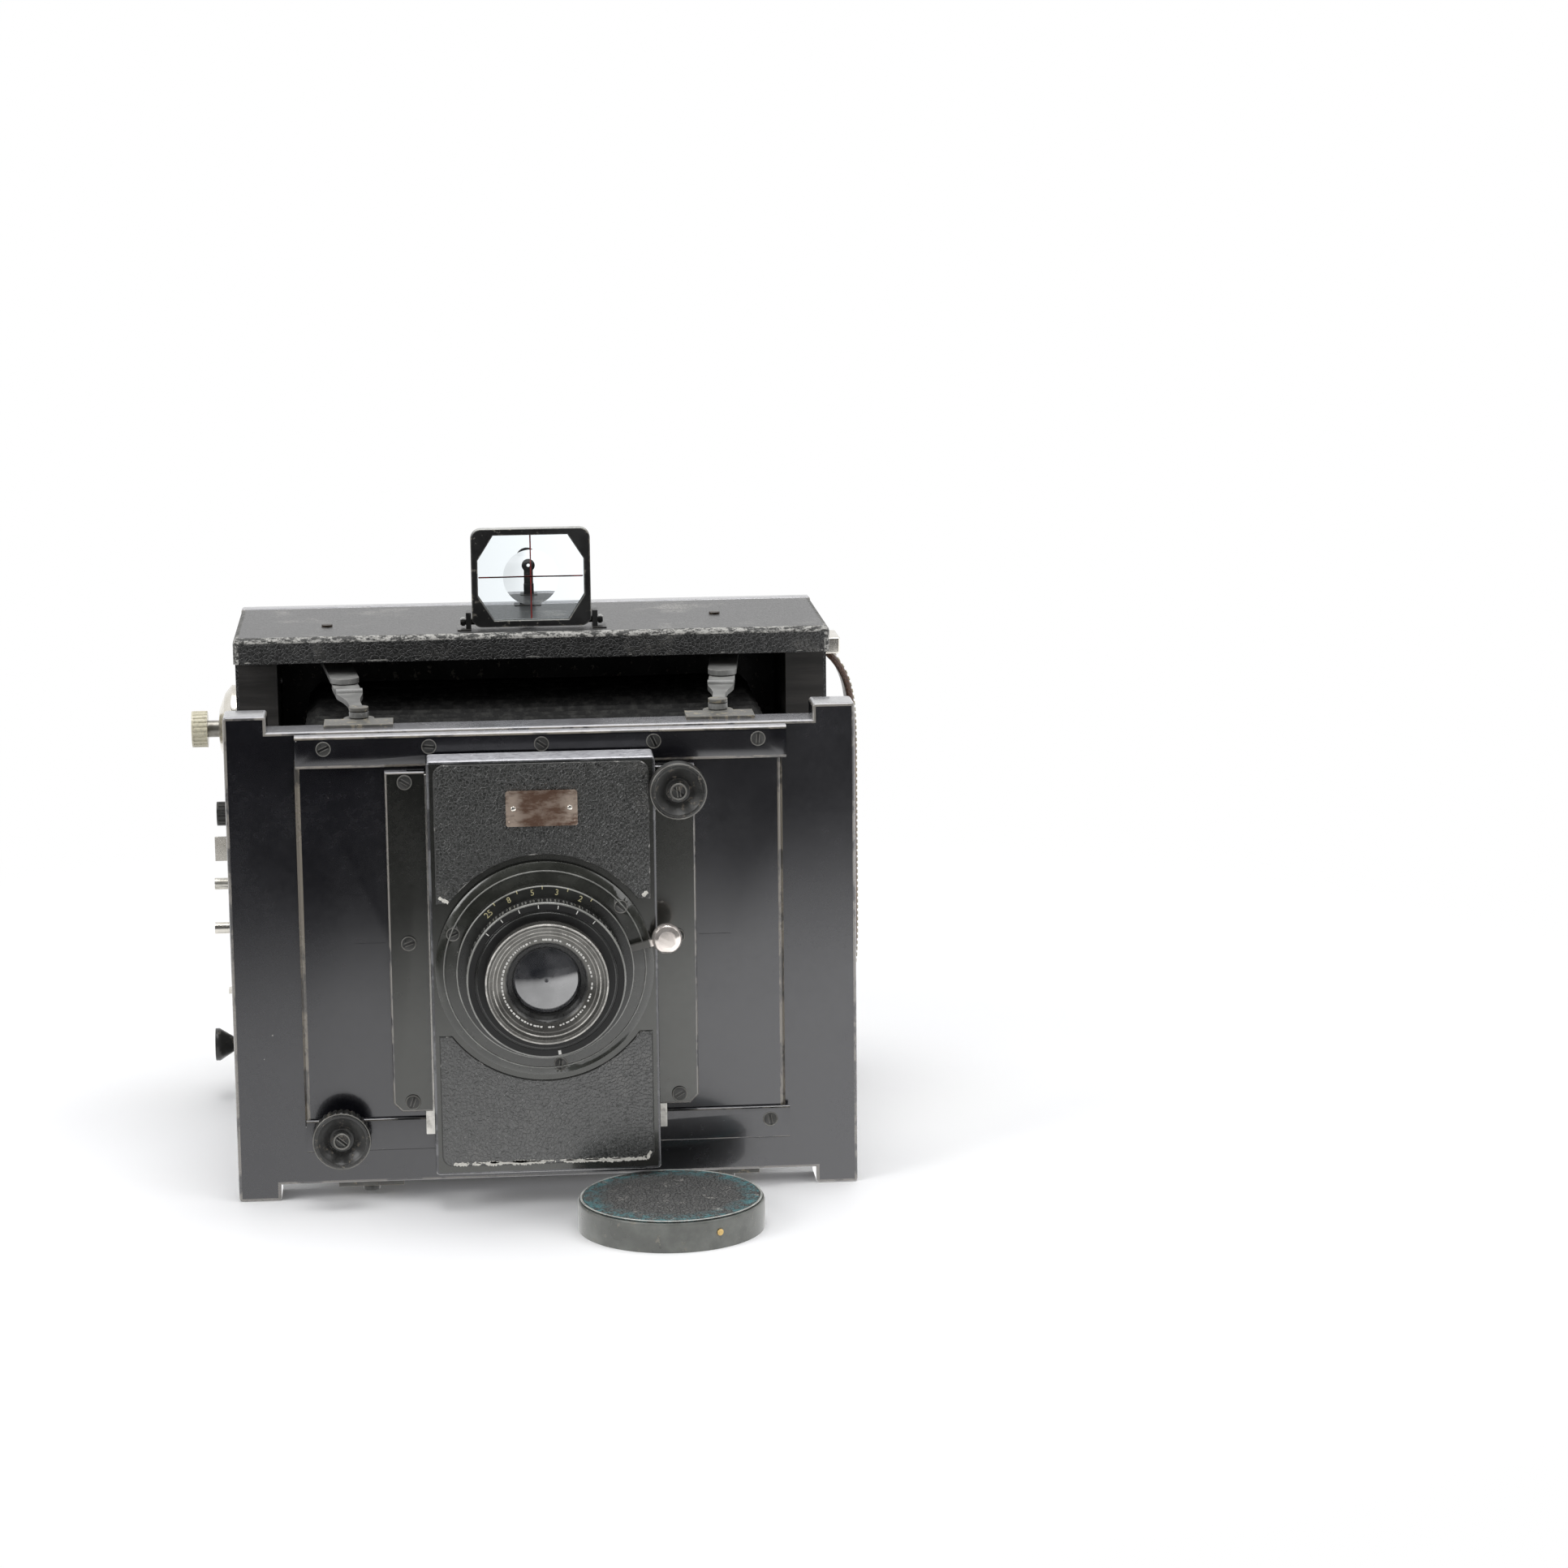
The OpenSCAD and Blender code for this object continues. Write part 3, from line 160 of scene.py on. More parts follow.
class Shader(Nodes):
    """One material of the look: a principled shader, kept in look under its name."""

    def __init__(self, name, color=(0.5, 0.5, 0.5), roughness=0.5, metallic=0.0):
        look[name] = bpy.data.materials.new(name)
        super().__init__(look[name])
        self.bsdf = self.add("BsdfPrincipled")
        self.out = self.add("OutputMaterial", {0: self.bsdf.outputs[0]})
        self.place = self.add("TexCoord").outputs["Object"]
        self.relief = None
        self.color(color)
        self.set(Roughness=roughness, Metallic=metallic)

    def set(self, **inputs):
        """Sets inputs of the principled shader, with _ for each space in their names."""
        for name, value in inputs.items():
            self.give(self.bsdf.inputs[name.replace("_", " ")], value)

    def color(self, value):
        self.set(Base_Color=value)

    def stretched(self, scale):
        """Object coordinates, stretched by a different amount along each axis."""
        return self.add("Mapping", {"Vector": self.place, "Scale": scale}).outputs[0]

    def noise(self, size_mm, detail=3.0, rough=0.5, where=None, distort=0.0):
        return self.add("TexNoise", {
            "Vector": where or self.place, "Scale": 1 / (size_mm * MM),
            "Detail": detail, "Roughness": rough, "Distortion": distort,
        }).outputs["Fac"]

    def cells(self, size_mm, feature="F1"):
        inputs = {"Vector": self.place, "Scale": 1 / (size_mm * MM)}
        return self.add("TexVoronoi", inputs, feature=feature).outputs["Distance"]

    def mix(self, share, a, b):
        """Colour a where share is 0 and colour b where it is 1."""
        node = self.add("Mix", data_type="RGBA")
        for socket, value in zip([s for s in node.inputs if s.enabled], (share, a, b)):
            self.give(socket, value)
        return next(s for s in node.outputs if s.enabled)

    def bump(self, height, depth_mm):
        """Adds a relief of this depth on top of the reliefs added before."""
        inputs = {"Height": height, "Distance": depth_mm * MM, "Strength": 1.0}
        if self.relief is not None:
            inputs["Normal"] = self.relief
        self.relief = self.add("Bump", inputs).outputs[0]
        self.set(Normal=self.relief)

    def vector(self, kind, *inputs):
        """The vector and the number that a vector operation gives."""
        return self.add("VectorMath", dict(enumerate(inputs)), operation=kind).outputs

    def along(self, axis):
        """The x, y or z coordinate of a point, in metres."""
        return self.add("SeparateXYZ", {0: self.place}).outputs[axis]

    def from_axis(self, x, z):
        """Distance of a point from a line that runs along y, in metres."""
        flat = self.vector("MULTIPLY_ADD", self.place, (1, 0, 1), (-x, 0, -z))[0]
        return self.vector("LENGTH", flat)[1]

    def from_point(self, point):
        """Distance from a point, in metres."""
        return self.vector("DISTANCE", self.place, point)[1]

    def upward(self):
        """How far a face looks up: the vertical part of its normal."""
        normal = self.add("NewGeometry").outputs["Normal"]
        return self.add("SeparateXYZ", {0: normal}).outputs["Z"]

    def dust_and_top_highlight(self, color, pale):
        """Lays dust and wear over the upward faces of a colour, with a painted highlight of the
        light from above: they are made paler in patches.
        """
        share = self.ramp(self.upward(), 0.55, 0.95)
        patchy = self.times(share, self.ramp(self.noise(2.5, 5, 0.65), 0.25, 0.6, 0.55, 1.0))
        return self.mix(patchy, color, pale)

    def dust(self, color, amount=0.5, size_mm=7.0):
        """Fine pale specks, sparse and of uneven size, laid over a colour."""
        spots = self.cells(size_mm)
        reach = self.ramp(self.noise(size_mm * 2.3, 1), 0.45, 0.75, 0.0, 0.055)
        speck = self.math("LESS_THAN", spots, reach)
        return self.mix(self.times(speck, amount), color, (0.34, 0.33, 0.31))


def scaled(color, factor, lift=0.0):
    return tuple(c * factor + lift for c in color)


def enamel(name, base, worn=None, cover=0.5, top=(0.2, 0.2, 0.215), tint=(0.97, 0.97, 1.0)):
    """Black enamel on wood or sheet metal: glossy and dusty, rubbed through where worn, and paler
    on upward faces as dust plus a painted highlight.
    """
    s = Shader(name)
    s.set(Specular_IOR_Level=0.85, Specular_Tint=tint, Coat_Weight=0.8, Coat_Roughness=0.08)
    cloud = s.noise(34, 4, 0.55)
    color = s.mix(s.ramp(cloud, 0.35, 0.75), base, scaled(base, 1.5, 0.001))
    hairlines = s.noise(1.6, 3, 0.6, distort=0.6)
    s.set(Roughness=s.ramp(s.plus(s.times(hairlines, 0.5), cloud), 0.4, 1.2, 0.17, 0.34))
    color = s.dust(color, 0.6, 6.0)
    s.bump(s.noise(12, 2), 0.02)
    if worn:
        patchy = s.noise(3.6, 5, 0.65, s.stretched((0.35, 1, 0.35)))
        rub = s.ramp(patchy, 0.62 - 0.3 * cover, 0.72 - 0.3 * cover)
        color = s.mix(rub, color, worn)
        s.set(Coat_Weight=0.35)
    # Upward faces made paler: dust, and a painted highlight of the light from above.
    s.color(s.dust_and_top_highlight(color, top))


def leather(name, base, pale, grain_mm=0.85, wear=0.35, roughness=0.48, depth=0.16,
            rubbed=(0.42, 0.4, 0.36), coat=0.3, coat_roughness=0.26, rim=None, patch_mm=17):
    """Grained leather: dark pits between raised pebbles, with rubbed patches."""
    s = Shader(name)
    warp = s.noise(grain_mm * 3, 2)
    pebble = s.cells(grain_mm, "SMOOTH_F1")
    crease = s.ramp(s.cells(grain_mm * 1.15, "DISTANCE_TO_EDGE"), 0.0, 0.16)
    fine = s.noise(grain_mm * 0.4, 3, 0.6)
    color = s.mix(s.times(crease, s.ramp(fine, 0.3, 0.8)), base, pale)
    patch = s.ramp(s.noise(patch_mm, 5, 0.62), 0.56, 0.78, 0.0, wear)
    color = s.mix(s.times(patch, crease), color, rubbed)
    if rim:
        centre, near, far, tint = rim
        ring = s.ramp(s.from_point(centre), near, far)
        tinted = s.times(ring, s.ramp(s.noise(2.4, 6, 0.75), 0.46, 0.58))
        color = s.mix(tinted, color, tint)
    s.color(s.dust(color, 0.4, 5.0))
    s.set(Roughness=s.ramp(fine, 0.2, 0.8, roughness - 0.12, roughness + 0.1))
    s.set(Specular_IOR_Level=0.9, Coat_Weight=coat, Coat_Roughness=coat_roughness)
    relief = s.plus(s.times(crease, 0.75), s.times(pebble, -0.55))
    s.bump(s.plus(relief, s.times(warp, 0.4)), depth)
    s.bump(fine, 0.03)


def worn_leather(name, dark, pale, cover=0.5, size_mm=2.6, worn_y=None):
    """The rubbed edge of a leather covering: pale fibres with dark leather left between them."""
    s = Shader(name, roughness=0.6)
    coarse = s.noise(size_mm, 6, 0.7, s.stretched((0.45, 1, 1)))
    fine = s.noise(0.5, 4, 0.6)
    uneven = s.plus(coarse, s.times(fine, 0.35))
    share = s.ramp(uneven, 0.86 - 0.3 * cover, 1.02 - 0.3 * cover)
    if worn_y:
        share = s.times(share, s.ramp(s.along("Y"), *worn_y, 1.0, 0.3))
    s.color(s.mix(share, dark, s.mix(fine, scaled(pale, 0.7), pale)))
    s.bump(s.plus(coarse, fine), 0.12)


def metal(name, base, stain, roughness=0.3, spots=0.4, metallic=1.0):
    """Bare or plated metal with tarnish and fine lines."""
    s = Shader(name, metallic=metallic)
    cloud = s.noise(5, 5, 0.6)
    share = s.ramp(cloud, 0.42, 0.72, 0.0, spots)
    s.color(s.mix(share, base, stain))
    lines = s.noise(0.5, 2, 0.5)
    s.set(Roughness=s.ramp(s.plus(lines, cloud), 0.6, 1.5, roughness * 0.7, roughness * 1.6))
    s.bump(lines, 0.006)
    s.bump(s.noise(4, 2), 0.012)


def lacquer(name, base, roughness=0.42, chip=None, chips=0.0, depth=0.02, coat=0.0, top=None):
    """Satin black lacquer with a faint orange peel and, where asked, chipped spots and upward faces
    made paler as dust plus a painted highlight.
    """
    s = Shader(name)
    cloud = s.noise(9, 4, 0.6)
    color = s.mix(s.ramp(cloud, 0.35, 0.75), base, scaled(base, 1.8, 0.004))
    if chip:
        flake = s.ramp(s.noise(2.2, 6, 0.7), 0.62 - 0.2 * chips, 0.66 - 0.2 * chips)
        color = s.mix(flake, color, chip)
        s.bump(s.math("SUBTRACT", 1.0, flake), 0.04)
    color = s.dust(color, 0.5, 4.0)
    # Upward faces made paler where top is given: dust, and a painted highlight.
    s.color(s.dust_and_top_highlight(color, top) if top else color)
    s.set(Coat_Weight=coat, Coat_Roughness=0.12)
    s.set(Roughness=s.ramp(cloud, 0.3, 0.8, roughness - 0.08, roughness + 0.12))
    s.bump(s.noise(0.7, 3), depth)


def cloth(name, base, pale, thread_mm=0.45, roughness=0.85, depth=0.08, dusty_y=None):
    """Coated cloth: a fine weave under uneven dust, which lies thicker ahead of dusty_y."""
    s = Shader(name, roughness=roughness)
    warp = s.noise(thread_mm, 1, 0.5, s.stretched((1, 0.25, 1)))
    weave = s.plus(warp, s.noise(thread_mm, 1, 0.5, s.stretched((0.25, 1, 1))))
    dusty = s.ramp(s.noise(3.4, 6, 0.72), 0.44, 0.6)
    mottle = s.times(dusty, s.ramp(weave, 0.6, 1.35, 0.45, 1.0))
    if dusty_y:
        mottle = s.times(mottle, s.ramp(s.along("Y"), *dusty_y, 1.0, 0.06))
        mottle = s.times(mottle, s.ramp(s.upward(), 0.0, 0.7, 0.12, 1.0))
    s.color(s.mix(mottle, base, pale))
    s.set(Specular_IOR_Level=0.25)
    s.bump(weave, depth)
    s.bump(s.noise(3, 4), 0.25)


def wood(name, base, pale):
    """Dark stained wood whose grain runs along x."""
    s = Shader(name)
    grain = s.noise(3, 6, 0.6, s.stretched((0.06, 1, 1)), 0.4)
    s.color(s.mix(s.ramp(grain, 0.35, 0.7), base, pale))
    s.set(Roughness=s.ramp(grain, 0.3, 0.7, 0.45, 0.65))
    s.bump(grain, 0.1)


def clear_glass(name, tint, ior=1.52, roughness=0.0, haze=0.0):
    """Glass with faint smears on its faces."""
    s = Shader(name, tint)
    s.set(Transmission_Weight=1.0, IOR=ior)
    smear = s.noise(6, 5, 0.65)
    s.set(Roughness=s.ramp(smear, 0.4, 0.8, roughness, roughness + 0.03 + haze))
    s.bump(s.noise(9, 2), 0.004)


def coated_glass(name):
    """The front lens: so dark inside that mostly its surface shows."""
    s = Shader(name)
    s.set(IOR=2.4, Coat_Weight=1.0, Coat_Roughness=0.01)
    veil = s.noise(7, 3, 0.5)
    s.color(s.mix(s.ramp(veil, 0.35, 0.7), (0.028, 0.03, 0.034), (0.1, 0.1, 0.105)))
    s.set(Roughness=s.ramp(veil, 0.4, 0.9, 0.02, 0.09))


def felt(name, base, pale):
    """Matted fibres with a soft sheen."""
    s = Shader(name, roughness=0.95)
    fibre = s.noise(0.5, 6, 0.75, distort=1.5)
    s.color(s.mix(s.ramp(fibre, 0.3, 0.7), base, pale))
    s.set(Sheen_Weight=0.4)
    s.bump(fibre, 0.2)


def plain_paint(name, color, roughness=0.5):
    """Paint in engraved marks, a little dirty."""
    s = Shader(name, roughness=roughness)
    dirt = s.ramp(s.noise(0.8, 4, 0.7), 0.4, 0.75, 0.0, 0.6)
    s.color(s.mix(dirt, color, scaled(color, 0.45)))
    s.bump(s.noise(0.3, 2), 0.01)


def two_part(name, near, far, radius_mm, roughness):
    """Lever metal: dark enamel near the lens axis and bright nickel beyond it."""
    s = Shader(name, roughness=roughness)
    share = s.ramp(s.from_axis(AXIS.x, AXIS.z), (radius_mm - 0.3) * MM, (radius_mm + 0.3) * MM)
    cloud = s.noise(3, 4, 0.6)
    s.color(s.mix(share, near, s.mix(s.ramp(cloud, 0.5, 0.8, 0.0, 0.5), far, scaled(far, 0.6))))
    s.set(Metallic=s.ramp(share, 0.0, 1.0, 0.1, 0.75))
    s.bump(cloud, 0.008)


def turned_bezel(name):
    """The front rim: a dark cone round the glass, then satin metal turned in steps, with pale lines
    on two steps as painted highlights.
    """
    s = Shader(name)
    radius = s.from_axis(AXIS.x, AXIS.z)
    satin = s.ramp(radius, 10.8 * MM, 11.3 * MM)
    cloud = s.noise(3, 4, 0.6)
    clean = s.mix(satin, (0.016, 0.016, 0.016), (0.13, 0.127, 0.118))
    dull = s.mix(satin, (0.03, 0.03, 0.028), (0.07, 0.068, 0.06))
    color = s.mix(s.ramp(cloud, 0.4, 0.7, 0.0, 0.7), clean, dull)
    # Pale lines on two turned steps: painted highlights.
    for highlight_line_mm, half_mm in ((13.35, 0.14), (15.4, 0.1)):
        away = s.math("ABSOLUTE", s.math("SUBTRACT", radius, highlight_line_mm * MM))
        color = s.mix(s.math("LESS_THAN", away, half_mm * MM), color, (0.3, 0.29, 0.27))
    s.color(color)
    s.set(Metallic=s.ramp(satin, 0.0, 1.0, 0.0, 0.6), Roughness=s.ramp(cloud, 0.3, 0.8, 0.22, 0.36))
    s.bump(cloud, 0.01)


def two_place_metal(name, axis, low, high, first, second):
    """Metal of one colour below a place along an axis and of another beyond it."""
    s = Shader(name, metallic=0.75, roughness=0.35)
    share = s.ramp(s.along(axis), low, high)
    cloud = s.noise(2.5, 5, 0.65)
    color = s.mix(share, first, second)
    s.color(s.mix(s.ramp(cloud, 0.45, 0.75, 0.0, 0.5), color, (0.06, 0.045, 0.03)))
    s.bump(cloud, 0.02)


def plate_metal(name, middle_x, half, bright, brown):
    """A bronze plate, bright toward both ends and brown between them."""
    s = Shader(name, metallic=0.85, roughness=0.32)
    offset = s.math("ABSOLUTE", s.math("SUBTRACT", s.along("X"), middle_x))
    ends = s.ramp(offset, half * 0.42, half * 0.85)
    streak = s.noise(2.2, 5, 0.65, s.stretched((0.5, 1, 1)))
    share = s.times(ends, s.ramp(streak, 0.3, 0.6))
    halfway = tuple(0.5 * (a + b) for a, b in zip(bright, brown))
    s.color(s.mix(share, s.mix(s.ramp(streak, 0.4, 0.65), brown, halfway), bright))
    s.bump(streak, 0.01)


def box(name):
    """Low corner, high corner and middle of a CAD node's box, in metres."""
    low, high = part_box(name)
    return low, high, (low + high) / 2


rim_low, _, AXIS = box("lens_rim")
AXIS.y = 0
plate_low, plate_high, plate_middle = box("name_plate")
bellows_front = box("bellows")[0].y
cap_low, cap_high, cap_middle = box("cap_leather")
cap_middle.z = cap_high.z
cap_half = (cap_high.x - cap_low.x) / 2
lid_low, lid_high, _ = box("leather_covering")
body_left = box("casing")[0].x
tongue_side = box("board_tongue")[1].x
tongue = [v.co for v in nodes["board_tongue"].data.vertices]
tab_top = max(p.z for p in tongue if p.x > tongue_side - 0.1 * MM)

# Black paints and their worn edges: colour, wear, share of it, dust on top with a painted highlight
# of upward faces
enamel("black_enamel", (0.0045, 0.0045, 0.0065))
enamel("enamel_edge", (0.06, 0.058, 0.058), (0.22, 0.205, 0.185), 0.7, (0.33, 0.33, 0.35))
enamel("brassed_edge", (0.07, 0.065, 0.058), (0.2, 0.178, 0.145), 0.7, (0.42, 0.41, 0.42))
enamel("dark_edge", (0.02, 0.02, 0.02), (0.12, 0.11, 0.095), 0.5, (0.1, 0.1, 0.1))
# The lens board's top, nearly white: a painted highlight of the lamps above, over dust.
enamel("board_enamel", (0.0068, 0.007, 0.0063), top=(0.72, 0.72, 0.76), tint=(0.97, 0.98, 0.92))
enamel("guide_enamel", (0.0068, 0.007, 0.0062), tint=(0.97, 0.98, 0.92))
enamel("board_edge", (0.035, 0.035, 0.037), (0.13, 0.13, 0.135), 0.45, (0.62, 0.62, 0.66))
lacquer("black_lacquer", (0.012, 0.012, 0.012), 0.38, (0.13, 0.12, 0.1), 0.1)
lacquer("lacquer_edge", (0.05, 0.048, 0.045), 0.4, (0.3, 0.26, 0.2), 0.75)
# The finder frame's pale top: a painted highlight of its rounded rim, over dust.
lacquer("finder_black", (0.012, 0.012, 0.012), 0.38, (0.13, 0.12, 0.1), 0.05, top=(0.42, 0.42, 0.4))
lacquer("finder_edge", (0.07, 0.07, 0.066), 0.36, (0.25, 0.23, 0.19), 0.4, top=(0.5, 0.5, 0.47))
lacquer("flange_black", (0.024, 0.025, 0.021), 0.24, depth=0.004, coat=0.8)
lacquer("lens_black", (0.016, 0.0165, 0.015), 0.28, depth=0.006, coat=0.5)
# Pale grey on the rounded edges of the lens rings and on the flange step: a painted highlight.
lacquer("lens_ring_edge", (0.17, 0.17, 0.158), 0.26, depth=0.004, coat=0.5)
# Black darkened further for the aperture ring's face and the barrel: painted shade of the deep
# recess round the rim.
lacquer("lens_deep_black", (0.004, 0.004, 0.004), 0.5)
turned_bezel("lens_bezel")
# Pale grey with chips on the rim's edges and steps: a painted highlight.
lacquer("lens_bezel_edge", (0.3, 0.29, 0.27), 0.3, (0.6, 0.58, 0.54), 0.6, 0.006)
lacquer("knob_black", (0.022, 0.022, 0.021), 0.33, (0.12, 0.105, 0.085), 0.2)
lacquer("knob_edge", (0.09, 0.088, 0.082), 0.35, (0.34, 0.33, 0.3), 0.7)
lacquer("strut_paint", (0.15, 0.15, 0.145), 0.42, (0.3, 0.29, 0.27), 0.08)
lacquer("strut_edge", (0.22, 0.22, 0.21), 0.42, (0.48, 0.46, 0.42), 0.6)
lacquer("bracket_black", (0.1, 0.098, 0.09), 0.45, (0.27, 0.24, 0.18), 0.35)
lacquer("cap_paint", (0.1, 0.104, 0.095), 0.34, (0.2, 0.19, 0.16), 0.05)
# The cap's pale edges and the pale ring round its leather: painted highlights of the lit rim.
lacquer("cap_edge", (0.22, 0.23, 0.22), 0.32, (0.4, 0.39, 0.36), 0.4)
lacquer("cap_rim_highlight", (0.34, 0.35, 0.33), 0.3, depth=0.01)

# Leather, cloth, felt and wood
leather("body_leather", (0.007, 0.007, 0.007), (0.032, 0.032, 0.031), 0.95, 0.45)
worn_leather("leather_edge", (0.035, 0.035, 0.033), (0.5, 0.49, 0.46), 0.85, 1.2,
             (lid_low.y + 3 * MM, lid_low.y + 9 * MM))
leather("board_leather", (0.006, 0.0065, 0.0055), (0.038, 0.04, 0.036), 0.85, 0.2, 0.32, 0.14,
        coat=1.0, coat_roughness=0.2)
worn_leather("inlay_edge", (0.045, 0.045, 0.043), (0.62, 0.6, 0.57), 0.45, 3.2)
leather("cap_leather", (0.03, 0.0305, 0.03), (0.26, 0.26, 0.25), 0.9, 1.0, 0.55, 0.3,
        (0.5, 0.48, 0.44), patch_mm=4,
        rim=(cap_middle, cap_half * 0.7, cap_half, (0.08, 0.24, 0.26)))
leather("strap_leather", (0.06, 0.025, 0.012), (0.2, 0.09, 0.045), 0.7, 0.5, 0.5, 0.1,
        (0.35, 0.2, 0.12))
cloth("bellows_cloth", (0.006, 0.006, 0.006), (0.34, 0.34, 0.31),
      dusty_y=(bellows_front + 9 * MM, bellows_front + 26 * MM))
cloth("curtain_cloth", (0.01, 0.01, 0.01), (0.035, 0.035, 0.035), 0.3, 0.8, 0.03)
felt("cap_felt", (0.05, 0.008, 0.012), (0.12, 0.02, 0.03))
wood("body_wood", (0.02, 0.0185, 0.017), (0.046, 0.042, 0.039))

# Metals: colour, stain, roughness, share of stain
metal("nickel", (0.74, 0.71, 0.65), (0.42, 0.37, 0.28), 0.22, 0.25, 0.85)
metal("worn_brass", (0.4, 0.37, 0.32), (0.36, 0.25, 0.12), 0.42, 0.75, 0.7)
metal("lacquered_brass", (0.58, 0.42, 0.18), (0.25, 0.16, 0.07), 0.3, 0.5)
metal("screw_steel", (0.07, 0.07, 0.068), (0.035, 0.033, 0.03), 0.34, 0.6, 0.5)
# Paler metal for screw rims and slot edges: a painted highlight, over some wear.
metal("screw_edge", (0.2, 0.195, 0.18), (0.1, 0.095, 0.085), 0.4, 0.8, 0.4)
metal("roller_alloy", (0.62, 0.62, 0.62), (0.4, 0.4, 0.38), 0.35, 0.3)
two_part("lever_metal", (0.1, 0.098, 0.09), (0.86, 0.79, 0.74), 29.3, 0.16)
# The tongue: nickel below the tops of its tabs, and dark above them as painted shade on its sides.
two_place_metal("tongue_nickel", "Z", tab_top, tab_top + 0.4 * MM,
                (0.85, 0.83, 0.78), (0.035, 0.035, 0.033))
two_place_metal("body_screws", "Z", lid_high.z - 1.2 * MM, lid_high.z - 0.6 * MM,
                (0.7, 0.68, 0.62), (0.06, 0.045, 0.035))
two_place_metal("winding_shaft", "X", body_left - 0.5 * MM, body_left,
                (0.3, 0.29, 0.26), (0.58, 0.42, 0.18))
plate_metal("plate_bronze", plate_middle.x, (plate_high.x - plate_low.x) / 2,
            (0.66, 0.54, 0.45), (0.2, 0.12, 0.085))

# Glass and the paint of figures, marks and lines
clear_glass("finder_glass", (0.72, 0.76, 0.78))
clear_glass("matt_glass", (0.86, 0.9, 0.88), 1.5, 0.35, 0.1)
coated_glass("lens_glass")
plain_paint("ivory", (0.66, 0.62, 0.47), 0.3)
plain_paint("worn_grey", (0.3, 0.295, 0.275), 0.6)
plain_paint("worn_white", (0.72, 0.7, 0.64), 0.6)
plain_paint("white_fill", (0.8, 0.79, 0.75))
plain_paint("yellow_fill", (0.66, 0.6, 0.34))
plain_paint("red_line", (0.6, 0.06, 0.05))

EDGE_ANGLE = math.radians(38)
SMOOTH_ANGLE = math.radians(50)
FLAT_ANGLE = math.radians(0.5)
SAME_POINT = 1e-6
NEAR = 0.02 * MM


def weigh_normals(piece, keep_sharp):
    put(piece.modifiers.new("flat", "WEIGHTED_NORMAL"), weight=100, keep_sharp=keep_sharp)


def dress(name, main, width, edge):
    """Gives a CAD node its materials and, as modifiers, softly rounded edges."""
    piece = nodes[name]
    piece.data.materials.clear()
    piece.data.materials.append(look[main])
    put(piece.modifiers.new("weld", "WELD"), merge_threshold=SAME_POINT)
    if width:
        piece.data.materials.append(look[edge])
        put(
            piece.modifiers.new("rounded", "BEVEL"), width=width * MM, segments=2,
            limit_method="ANGLE", angle_limit=EDGE_ANGLE, material=1, harden_normals=False,
        )
        weigh_normals(piece, False)


def new_mesh(name, verts, faces):
    mesh = bpy.data.meshes.new(name)
    mesh.from_pydata(verts, [], faces)
    return mesh


def add_piece(name, mesh, materials, body, smooth):
    """A new piece of the object that rides on a body."""
    piece = add_object(name, mesh)
    for material in materials:
        mesh.materials.append(look[material])
    for polygon in mesh.polygons:
        polygon.use_smooth = smooth
    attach(piece, body)
    return piece


def add_mesh(name, verts, faces, material, body, smooth=True):
    """A new piece of the object, given in metres in the shared frame."""
    mesh = new_mesh(name, verts, faces)
    mesh.validate()
    return add_piece(name, mesh, [material], body, smooth)


def to_mesh(bm, name, mesh=None):
    mesh = mesh or bpy.data.meshes.new(name)
    bm.to_mesh(mesh)
    bm.free()
    return mesh


def join_meshes(name, parts, material, body, smooth=False):
    """Joins (mesh, matrix) pairs into one piece."""
    bm = bmesh.new()
    for mesh, matrix in parts:
        first = len(bm.verts)
        bm.from_mesh(mesh)
        bm.verts.ensure_lookup_table()
        for vert in bm.verts[first:]:
            vert.co = matrix @ vert.co
    bm.normal_update()
    return add_piece(name, to_mesh(bm, name), [material], body, smooth)


def finish_edges(name, main, width, edge, pick, segments):
    """A copy of a CAD node that stands for it, with the picked edges rounded or chamfered."""
    node = nodes[name]
    faces = [tuple(f.vertices) for f in node.data.polygons]
    mesh = new_mesh(name + "_finished", [v.co for v in node.data.vertices], faces)
    bm = bmesh.new()
    bm.from_mesh(mesh)
    bmesh.ops.remove_doubles(bm, verts=bm.verts, dist=SAME_POINT)
    bmesh.ops.dissolve_limit(bm, angle_limit=FLAT_ANGLE, verts=bm.verts, edges=bm.edges)
    picked = [
        e for e in bm.edges
        if e.is_manifold and e.is_convex and e.calc_face_angle(0) > EDGE_ANGLE
        and pick((e.verts[0].co + e.verts[1].co) / 2, e.calc_length())
    ]
    bmesh.ops.bevel(
        bm, geom=picked, offset=width * MM, segments=segments, profile=0.5,
        affect="EDGES", clamp_overlap=False, material=1,
    )
    to_mesh(bm, name, mesh)
    piece = add_piece(mesh.name, mesh, [main, edge], node["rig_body"], True)
    mesh.set_sharp_from_angle(angle=SMOOTH_ANGLE)
    weigh_normals(piece, True)
    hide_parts(name)


def long_edges(shortest_mm):
    return lambda middle, length: length > shortest_mm * MM


def front_edges(name, inside=None):
    """Edges on the face of a node that looks along -y."""
    face = box(name)[0].y
    return lambda middle, length: middle.y < face + NEAR and (inside is None or inside(middle))


def level_edges(name):
    """The upper and lower edge of a node's front face."""
    low, high, _ = box(name)
    return front_edges(name, lambda p: min(abs(p.z - low.z), abs(p.z - high.z)) < NEAR)


def outside_radius(radius_mm):
    """Edges further from the lens axis than this."""
    return lambda middle, length: math.hypot(middle.x - AXIS.x, middle.z - AXIS.z) > radius_mm * MM


